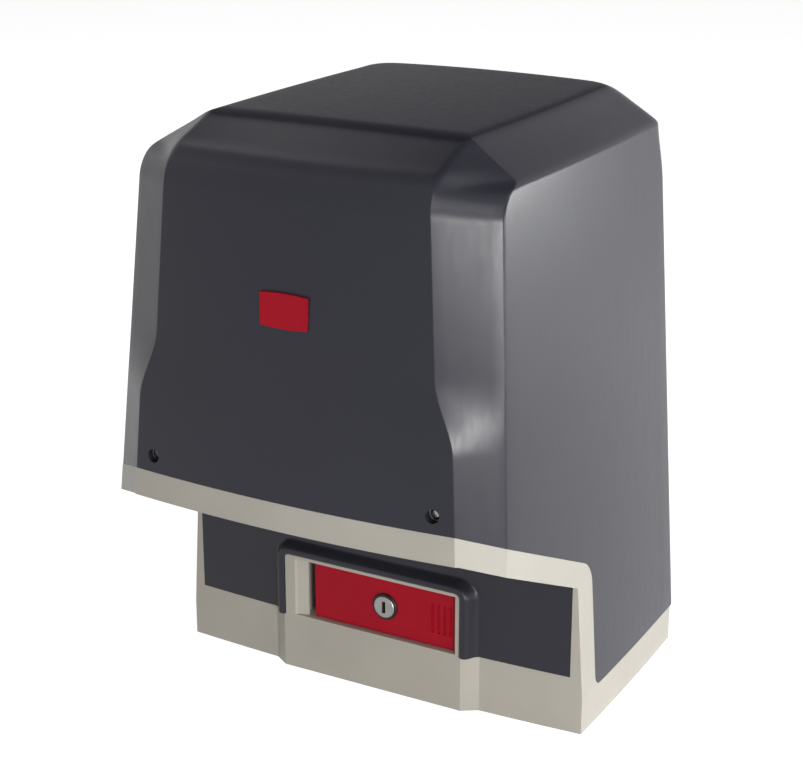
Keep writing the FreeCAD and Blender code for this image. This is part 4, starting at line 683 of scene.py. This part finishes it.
class FrontInsert(bpy.types.Operator):
    """Satin dark plastic of the bowed insert, drawn out into a hood round the release pod"""
    bl_idname = "gate_motor.front_insert"
    bl_label = "Front insert"

    def bow(self, x):
        """The insert's face, which bulges towards its middle."""
        f = front_form()
        return f.face_y - f.bow * (1 - (x / cover_form().half_width) ** 2)

    def hood(self, x, z):
        """Height of the hood's rim and hollow flank above the insert's face."""
        f = front_form()
        across = abs(x) - (f.window_half - f.window_r)
        above = z - (f.window_top - f.window_r)
        if across > 0 and above > 0:
            away = math.hypot(across, above)
            upright = (above / away) ** 2
        else:
            away = max(across, above)
            upright = float(above > across)
        away -= f.window_r
        flank = f.flank_side + (f.flank_top - f.flank_side) * upright
        full = self.bow(x) - (f.pod_y - f.hood_reach)
        depth_share = 0.6
        inner = (1 - min(max(away, 0) / f.hood_round, 1)) ** 2 * f.hood_round * depth_share
        return (full - inner) * (1 - eased(away, f.hood_flat, f.hood_flat + flank))

    def execute(self, context):
        f = front_form()
        dark = moulded("insert plastic", colours().insert, 0.32, sizes().plastic_grain, 0.06, 0.08,
                       specular=0.3)
        low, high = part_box("front_insert")
        trim, skin, ahead = 0.002, 0.0002, -0.2
        half_columns = graded(0, *GRID_X)
        columns = [-x for x in half_columns[:0:-1]] + half_columns
        rows = graded(low.z - trim, *GRID_Z)
        front = [[(x, self.bow(x) - self.hood(x, z), z) for z in rows] for x in columns]
        back = [[(x, self.bow(x) + f.thickness, z) for z in rows] for x in columns]
        count = len(rows)
        verts = [p for grid in (front, back) for column in grid for p in column]
        behind = len(columns) * count
        faces = []
        for i in range(len(columns) - 1):
            for k in range(count - 1):
                a = i * count + k
                faces.append((a, a + count, a + count + 1, a + 1))
                faces.append((behind + a, behind + a + 1, behind + a + count + 1, behind + a + count))
        last = (len(columns) - 1) * count
        rim = list(range(0, last, count)) + list(range(last, last + count))
        rim += list(range(last - 1, 0, -count)) + list(range(count - 2, 0, -1))
        faces += [(a, behind + a, behind + b, b) for a, b in zip(rim, rim[1:] + rim[:1])]
        insert = mesh_object("insert", verts, faces, dark)
        outward(insert)
        top = high.z - skin
        edge = rounded([(-f.half, low.z, 0), (f.half, low.z, 0), (f.half, top, f.corner_r),
                        (-f.half, top, f.corner_r)])
        window = rounded([(-f.window_half, 0, 0), (f.window_half, 0, 0),
                          (f.window_half, f.window_top, f.window_r),
                          (-f.window_half, f.window_top, f.window_r)])
        combined(insert, prism("insert_outline", edge, ahead, 0, "Y"), "INTERSECT")
        combined(insert, prism("window", window, ahead, 0, "Y"), "DIFFERENCE")
        soften(insert, 40)
        settle(insert, "housing", "insert_shell", "front_insert")
        return {"FINISHED"}


class Cover(bpy.types.Operator):
    """Lift-off cover of blue-grey satin plastic, with its sunk screws"""
    bl_idname = "gate_motor.cover"
    bl_label = "Cover"

    def panel_face(self):
        """Front panel's place at the cover screws."""
        f, skin = front_form(), CoverOutlines()
        half = skin.panel_half(f.screw_z)
        return skin.panel_line(f.screw_z) - cover_form().panel_bow * (1 - (f.screw_x / half) ** 2)

    def execute(self, context):
        f = front_form()
        blue_grey = moulded("cover plastic", colours().cover, 0.30, sizes().plastic_grain, 0.05, 0.07,
                            specular=0.3)
        # Painted shade: the cover's upward faces reflect less, so its roof renders darker.
        painted_roof_shade(blue_grey, 0.3, 0.006)
        below_shell, below_room = 0.015, 0.012
        cup_wall, clearance, ahead, behind = 0.0012, 0.0002, 0.01, 0.02
        shell = CoverOutlines().solid("cover_shell", below_shell, blue_grey)
        room = CoverOutlines(cover_form().wall).solid("cover_room", below_room)
        face = self.panel_face()
        floor = face + f.cup_depth
        for side in (-1, 1):
            boss = circle(side * f.screw_x, f.screw_z, f.boss_r)
            combined(room, prism("boss", boss, face, floor + cup_wall, "Y"), "DIFFERENCE")
        combined(shell, room, "DIFFERENCE")
        combined(shell, below_rim(), "DIFFERENCE")
        combined(shell, rear_arch(), "DIFFERENCE")
        for side in (-1, 1):
            cup = circle(side * f.screw_x, f.screw_z, f.cup_r)
            bore = circle(side * f.screw_x, f.screw_z, f.shank_r + clearance)
            combined(shell, prism("cup", cup, face - ahead, floor, "Y"), "DIFFERENCE")
            combined(shell, prism("bore", bore, face, face + behind, "Y"), "DIFFERENCE")
        soften(shell, 28)
        settle(shell, "cover_assembly", "cover_shell", "cover")
        self.screws(floor)
        return {"FINISHED"}

    def screws(self, seat):
        """Domed heads with a small socket, sunk in the cups."""
        f = front_form()
        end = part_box("cover_screws")[1].y
        dark_zinc = metal("dark zinc", (0.30, 0.30, 0.31), 0.26, (1, 1, 1), 0.002, 0.1)
        r, rise, rim_share = f.head_r, 0.0022, 0.35
        socket_r, socket_foot_r, middle_r = 0.0013, 0.0011, 0.0001
        turns = [math.pi / 2 * k / 8 for k in range(7)]
        dome = [(r * math.cos(t), seat - rise * (rim_share + (1 - rim_share) * math.sin(t))) for t in turns]
        socket = [(socket_r, seat - rise * 0.9), (socket_foot_r, seat - rise * 0.3),
                  (middle_r, seat - rise * 0.2)]
        profile = [(f.shank_r, end), (f.shank_r, seat), (r, seat)] + dome + socket
        for number, side in enumerate((-1, 1), 1):
            screw = lathe_y("cover_screw_%d" % number, side * f.screw_x, f.screw_z, profile)
            screw.data.materials.append(dark_zinc)
            soften(screw, 35)
            if number == 1:
                settle(screw, "cover_assembly", "plated_steel", "cover_screws")
            else:
                settle(screw, "cover_assembly", "plated_steel")


class RedTrim(bpy.types.Operator):
    """Deep red plastic of the release door and the badge"""
    bl_idname = "gate_motor.red_trim"
    bl_label = "Red trim"

    def execute(self, context):
        red = moulded("red plastic", colours().red, 0.3, 0.0007, 0.05, 0.05, specular=0.12)
        finish_nodes(red, "release_door", "badge")
        return {"FINISHED"}


class Lock(bpy.types.Operator):
    """Turned lock, the zinc-plated fasteners, pin, rod and shelf, and the limit lever's spring"""
    bl_idname = "gate_motor.lock"
    bl_label = "Lock"

    def execute(self, context):
        turned = metal("turned nickel", (0.27, 0.265, 0.255), 0.38, (1, 1, 1), 0.0008, 0.1)
        finish_nodes(metal("blackened steel", (0.03, 0.03, 0.032), 0.4, (1, 1, 1), 0.001, 0.1), "lock_barrel")
        finish_nodes(turned, "lock_plug")
        self.lock_face(turned)
        zinc = metal("zinc plate", (0.60, 0.60, 0.58), 0.34, (1, 1, 1), 0.003, 0.08)
        finish_nodes(zinc, "lock_cam", "hinge_pin", "release_rod", "lid_screws", "gearbox_bolts",
                     "motor_screws", "pinion_bolt", "transformer_shelf", "transformer_clamp", "plate_screws",
                     "cover_nuts", "board_screws")
        self.finger_spring(zinc)
        return {"FINISHED"}

    def lock_face(self, material):
        """Domed disc on the plug, with the upright keyway through it."""
        f = front_form()
        low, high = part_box("lock_plug")
        middle, seat = (low + high) / 2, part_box("lock_barrel")[0].y
        dome = [(f.lock_r * r, seat - f.lock_dome * y)
                for r, y in ((1, 0), (1, 0.4), (0.95, 0.7), (0.6, 0.95), (0.02, 1))]
        disc = lathe_y("lock_face", middle.x, middle.z, dome, 64)
        half, tall, through = f.keyway / 2, f.keyway * 1.6, 0.01
        outline = [(middle.x + u, middle.z + v) for u, v in
                   ((-half, -tall), (half, -tall), (half, tall), (-half, tall))]
        combined(disc, prism("keyway", outline, seat - through, seat + through, "Y"), "DIFFERENCE")
        disc.data.materials.clear()
        disc.data.materials.append(material)
        soften(disc, 30)
        settle(disc, "lock_core", "lock_metal")

    def finger_spring(self, material):
        """Close-wound spring of the limit finger, with a plain rounded tip."""
        low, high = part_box("limit_spring")
        middle, wire = (low + high) / 2, sizes().spring_wire
        inside_box, pitch, per_turn = 0.00005, wire * 1.12, 20
        tip_start, tip_share, tip_closes = 0.86, 0.14, 0.8
        winding_r = (high.x - low.x) / 2 - wire / 2 - inside_box
        rise = high.z - low.z - wire
        turns = rise / pitch
        path = []
        for k in range(int(turns * per_turn) + 1):
            share = k / (turns * per_turn)
            closed = max(share - tip_start, 0) ** 2 / tip_share ** 2 * tip_closes
            r = winding_r * math.sqrt(max(1 - closed, 0.04))
            turn = 2 * math.pi * turns * share
            path.append(Vector((middle.x + r * math.cos(turn), middle.y + r * math.sin(turn),
                                low.z + wire / 2 + rise * share)))
        spring = mesh_object("finger_spring", *tube_along(path, wire / 2, 8), material)
        soften(spring, 60)
        settle(spring, "limit_finger", "plated_steel", "limit_spring")


class GearTrain(bpy.types.Operator):
    """Cut steel, bronze and castings of the gear train"""
    bl_idname = "gate_motor.gear_train"
    bl_label = "Gear train"

    def execute(self, context):
        steel = metal("oiled steel", (0.42, 0.42, 0.43), 0.28, (1, 6, 1), 0.0009, 0.12)
        finish_nodes(steel, "clutch_dog", "worm_shaft", "output_shaft", "drive_pinion", "pinion_key",
                     "output_bearings", "worm_bearings")
        bronze = metal("bronze", (0.58, 0.36, 0.15), 0.3, (1, 1, 1), 0.001, 0.1)
        finish_nodes(bronze, "worm_wheel")
        cast = metal("die casting", (0.50, 0.51, 0.52), 0.46, (1, 1, 1), sizes().cast_grain, 0.5)
        finish_nodes(cast, "gearbox_casing", "gearbox_lid", "shift_fork", "motor_end_bell", "rear_plate")
        return {"FINISHED"}


class Motor(bpy.types.Operator):
    """Painted motor can and its dark inner parts"""
    bl_idname = "gate_motor.motor"
    bl_label = "Motor"

    def execute(self, context):
        paint = moulded("black paint", (0.025, 0.025, 0.028), 0.4, 0.0016, 0.1, 0.25)
        finish_nodes(paint, "motor_can")
        sheets = metal("stacked sheet", (0.14, 0.14, 0.15), 0.5, (1, 1, 40), 0.01, 0.6)
        finish_nodes(sheets, "stator", "rotor_core")
        black = moulded("black plastic", (0.03, 0.03, 0.033), 0.42, 0.0011, 0.08, 0.15)
        finish_nodes(black, "encoder_disc", "encoder_cap", "board_carrier", "controller_chip",
                     "button_bodies", "limit_switch", "limit_lever")
        return {"FINISHED"}


def solder_mask(name, green):
    """Glossy green lacquer over raised copper tracks and plated pads."""
    material, shader = new_material(name)
    tree = material.node_tree
    shader.inputs["Roughness"].default_value = 0.26
    tracks = tree.nodes.new("ShaderNodeTexBrick")
    tracks.offset = 0.37
    for label, value in (("Scale", 1.0), ("Mortar Size", 0.00035), ("Mortar Smooth", 0.1), ("Bias", -0.2),
                         ("Brick Width", 0.019), ("Row Height", 0.0032)):
        tracks.inputs[label].default_value = value
    upright = tree.nodes.new("ShaderNodeMapping")
    upright.inputs["Rotation"].default_value = (math.radians(-90), 0, 0)
    tree.links.new(object_space(material), upright.inputs["Vector"])
    tree.links.new(upright.outputs["Vector"], tracks.inputs["Vector"])
    pads = tree.nodes.new("ShaderNodeTexVoronoi")
    pads.inputs["Scale"].default_value = 210.0
    pads.inputs["Randomness"].default_value = 0.55
    tree.links.new(object_space(material), pads.inputs["Vector"])
    pad = spread(material, pads.outputs["Distance"], 1.0, 0.0, 0.14, 0.17)
    copper = tree.nodes.new("ShaderNodeMix")
    copper.data_type = "RGBA"
    copper.inputs[6].default_value = list(green) + [1.0]
    copper.inputs[7].default_value = [c * 1.9 + 0.01 for c in green] + [1.0]
    tree.links.new(tracks.outputs["Fac"], copper.inputs[0])
    plated = tree.nodes.new("ShaderNodeMix")
    plated.data_type = "RGBA"
    plated.inputs[7].default_value = (0.45, 0.44, 0.40, 1.0)
    tree.links.new(pad, plated.inputs[0])
    tree.links.new(copper.outputs[2], plated.inputs[6])
    tree.links.new(plated.outputs[2], shader.inputs["Base Color"])
    tree.links.new(spread(material, pad, 0.0, 0.8, 0.0, 1.0), shader.inputs["Metallic"])
    bumped(material, shader, [(tracks.outputs["Fac"], 0.4, 0.0001), (pad, 0.5, 0.0002)])
    return material


class Electronics(bpy.types.Operator):
    """Control board with its components, the push buttons, and the ring transformer in its tape"""
    bl_idname = "gate_motor.electronics"
    bl_label = "Electronics"

    def execute(self, context):
        finish_nodes(solder_mask("solder mask", (0.012, 0.10, 0.04)), "control_board")
        finish_nodes(moulded("green plastic", (0.03, 0.20, 0.10), 0.4, 0.001), "terminal_blocks")
        finish_nodes(moulded("blue plastic", (0.03, 0.10, 0.34), 0.3, 0.001), "relays")
        finish_nodes(moulded("capacitor sleeve", (0.05, 0.06, 0.12), 0.3, 0.001), "capacitors")
        finish_nodes(moulded("clear tube", (0.6, 0.62, 0.6), 0.1, 0.001), "fuse_holder")
        finish_nodes(moulded("white plastic", (0.7, 0.7, 0.67), 0.4, 0.001), "display", "push_button_1",
                     "push_button_2", "push_button_3")
        self.transformer(moulded("yellow tape", (0.50, 0.34, 0.035), 0.32, 0.004))
        return {"FINISHED"}

    def transformer(self, material):
        """Ring transformer wrapped in overlapping turns of tape."""
        low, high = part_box("transformer_core")
        middle, inner = (low + high) / 2, sizes().transformer_bore
        outer, tall = (high.x - low.x) / 2, (high.z - low.z) / 2
        ring_r, half = (outer + inner) / 2, (outer - inner) / 2
        turns, steps, sides = 58, 6, 40
        slant, squareness = 0.6, 0.55
        total = turns * steps
        verts, faces = [], []
        for i in range(total):
            lap = 1 - sizes().tape_lap * (i % steps) / steps
            round_z = 2 * math.pi * i / total
            for k in range(sides):
                t = 2 * math.pi * (k + slant * (i % steps) / steps) / sides
                u = math.copysign(abs(math.cos(t)) ** squareness, math.cos(t)) * half * lap
                w = math.copysign(abs(math.sin(t)) ** squareness, math.sin(t)) * tall * lap
                away = Vector((math.cos(round_z), math.sin(round_z), 0)) * (ring_r + u)
                verts.append(middle + away + Vector((0, 0, w)))
        for i in range(total):
            for k in range(sides):
                a, b, n = i * sides, ((i + 1) % total) * sides, (k + 1) % sides
                faces.append((a + k, b + k, b + n, a + n))
        ring = mesh_object("wrapped_transformer", verts, faces, material)
        outward(ring)
        soften(ring, 40)
        settle(ring, "housing", "tape", "transformer_core")


class Studio(bpy.types.Operator):
    """Pale floor, white surroundings, soft lamps and the camera"""
    bl_idname = "gate_motor.studio"
    bl_label = "Studio"

    def lamp(self, name, place, aim, width, height, power):
        """Soft rectangular lamp at a place, turned to a point."""
        light = bpy.data.lights.new(name, "AREA")
        light.shape = "RECTANGLE"
        light.size, light.size_y = width, height
        light.energy = power
        holder = bpy.data.objects.new(name, light)
        holder.location = place
        holder.rotation_euler = (Vector(aim) - Vector(place)).to_track_quat("-Z", "Y").to_euler()
        bpy.context.scene.collection.objects.link(holder)

    def backdrop_rays(self, tree):
        """Camera, transmission and glossy rays, which see the white backdrop."""
        rays = tree.nodes.new("ShaderNodeLightPath")
        return [rays.outputs["Is %s Ray" % kind] for kind in ("Camera", "Transmission", "Glossy")]

    def sum_of(self, tree, *values):
        """The values added up, and held to 1."""
        total = values[0]
        for value in values[1:]:
            node = tree.nodes.new("ShaderNodeMath")
            node.operation = "ADD"
            node.use_clamp = True
            tree.links.new(total, node.inputs[0])
            tree.links.new(value, node.inputs[1])
            total = node.outputs[0]
        return total

    def floor(self):
        """Pale floor, whose glow for those rays is added to its own shading."""
        material, shader = new_material("studio floor")
        tree = material.node_tree
        shader.inputs["Roughness"].default_value = 0.9
        shader.inputs["Specular IOR Level"].default_value = 0.1
        tinted(material, shader, colours().floor, noise(material, 0.2), 0.01)
        glow_strength, reach, below_part = 0.85, 6.0, 0.0002
        share = tree.nodes.new("ShaderNodeMath")
        share.operation = "MULTIPLY"
        share.inputs[1].default_value = glow_strength
        tree.links.new(self.sum_of(tree, *self.backdrop_rays(tree)), share.inputs[0])
        glow = tree.nodes.new("ShaderNodeEmission")
        tree.links.new(share.outputs[0], glow.inputs["Strength"])
        both = tree.nodes.new("ShaderNodeAddShader")
        tree.links.new(shader.outputs[0], both.inputs[0])
        tree.links.new(glow.outputs[0], both.inputs[1])
        output = [n for n in tree.nodes if n.type == "OUTPUT_MATERIAL"][0]
        tree.links.new(both.outputs[0], output.inputs["Surface"])
        mesh = bpy.data.meshes.new("studio_floor")
        corners = [(-reach, -reach, 0), (reach, -reach, 0), (reach, reach, 0), (-reach, reach, 0)]
        mesh.from_pydata(corners, [], [(0, 1, 2, 3)])
        mesh.materials.append(material)
        plane = bpy.data.objects.new("studio_floor", mesh)
        plane.location.z = CAD_BOX[0].z - below_part
        bpy.context.scene.collection.objects.link(plane)

    def background(self, tree, strength):
        node = tree.nodes.new("ShaderNodeBackground")
        node.inputs["Color"].default_value = (1, 1, 1, 1)
        node.inputs["Strength"].default_value = strength
        return node.outputs[0]

    def surroundings(self):
        """White for those rays, and dim light for the part."""
        world = bpy.data.worlds.new("studio")
        world.use_nodes = True
        bpy.context.scene.world = world
        tree = world.node_tree
        tree.nodes.clear()
        dim, white = (self.background(tree, strength) for strength in (0.09, 1.0))
        mix = tree.nodes.new("ShaderNodeMixShader")
        output = tree.nodes.new("ShaderNodeOutputWorld")
        tree.links.new(self.sum_of(tree, *self.backdrop_rays(tree)), mix.inputs[0])
        tree.links.new(dim, mix.inputs[1])
        tree.links.new(white, mix.inputs[2])
        tree.links.new(mix.outputs[0], output.inputs["Surface"])

    def camera(self):
        """Camera that looks down on the front and the right side."""
        data = bpy.data.cameras.new("camera")
        data.lens = sizes().camera_lens
        data.sensor_width = 36.0
        holder = bpy.data.objects.new("camera", data)
        holder.location = (0.486, -0.906, 0.512)
        holder.rotation_euler = Vector((-0.464, 0.824, -0.324)).to_track_quat("-Z", "Y").to_euler()
        bpy.context.scene.collection.objects.link(holder)
        bpy.context.scene.camera = holder

    def execute(self, context):
        bpy.context.scene.view_settings.view_transform = "Standard"
        self.floor()
        self.surroundings()
        self.lamp("side", (1.6, 0.3, 0.16), (0, 0, 0.15), 0.3, 0.24, 7)
        self.lamp("rim", (0.85, 0.85, 0.24), (0.1, -0.12, 0.26), 0.3, 0.3, 3.5)
        self.lamp("waist strip", (1.42, -1.50, 0.25), (0.1, -0.15, 0.2), 0.34, 0.22, 19)
        self.lamp("brow strip", (1.04, -1.44, 1.31), (0.1, -0.15, 0.28), 0.35, 1.0, 8)
        self.lamp("edge", (1.45, -0.55, 0.10), (0.1, -0.14, 0.22), 0.12, 0.16, 3.5)
        self.lamp("top", (0.9, 0.4, 1.6), (0, 0, 0.2), 0.9, 0.9, 5)
        self.lamp("rear fill", (-1.1, 0.7, 1.9), (0, 0, 0.15), 0.9, 0.9, 8)
        self.camera()
        return {"FINISHED"}


PIECES = (BaseHousing, FrontInsert, Cover, RedTrim, Lock, GearTrain, Motor, Electronics, Studio)


class GateMotorPanel(bpy.types.Panel):
    """Lists the pieces, their sizes and their colours"""
    bl_idname = "VIEW3D_PT_gate_motor"
    bl_label = "Gate motor"
    bl_space_type = "VIEW_3D"
    bl_region_type = "UI"
    bl_category = "Gate motor"

    def draw(self, context):
        for group in (sizes(), cover_form(), front_form(), colours()):
            for name in group.bl_rna.properties.keys():
                if name not in ("rna_type", "name"):
                    self.layout.prop(group, name)
        for piece in PIECES:
            self.layout.operator(piece.bl_idname)


CLASSES = (GateMotorSizes, GateMotorCover, GateMotorFront, GateMotorColours) + PIECES + (GateMotorPanel,)


def register():
    for item in CLASSES:
        bpy.utils.register_class(item)
    bpy.types.Scene.gate_motor_sizes = bpy.props.PointerProperty(type=GateMotorSizes)
    bpy.types.Scene.gate_motor_cover = bpy.props.PointerProperty(type=GateMotorCover)
    bpy.types.Scene.gate_motor_front = bpy.props.PointerProperty(type=GateMotorFront)
    bpy.types.Scene.gate_motor_colours = bpy.props.PointerProperty(type=GateMotorColours)


def unregister():
    del bpy.types.Scene.gate_motor_colours
    del bpy.types.Scene.gate_motor_front
    del bpy.types.Scene.gate_motor_cover
    del bpy.types.Scene.gate_motor_sizes
    for item in reversed(CLASSES):
        bpy.utils.unregister_class(item)


def corners(box):
    return [list(box[0]), list(box[1])]


def main():
    register()
    for piece in PIECES:
        getattr(bpy.ops.gate_motor, piece.bl_idname.split(".")[1])()


if __name__ == "__main__":
    main()
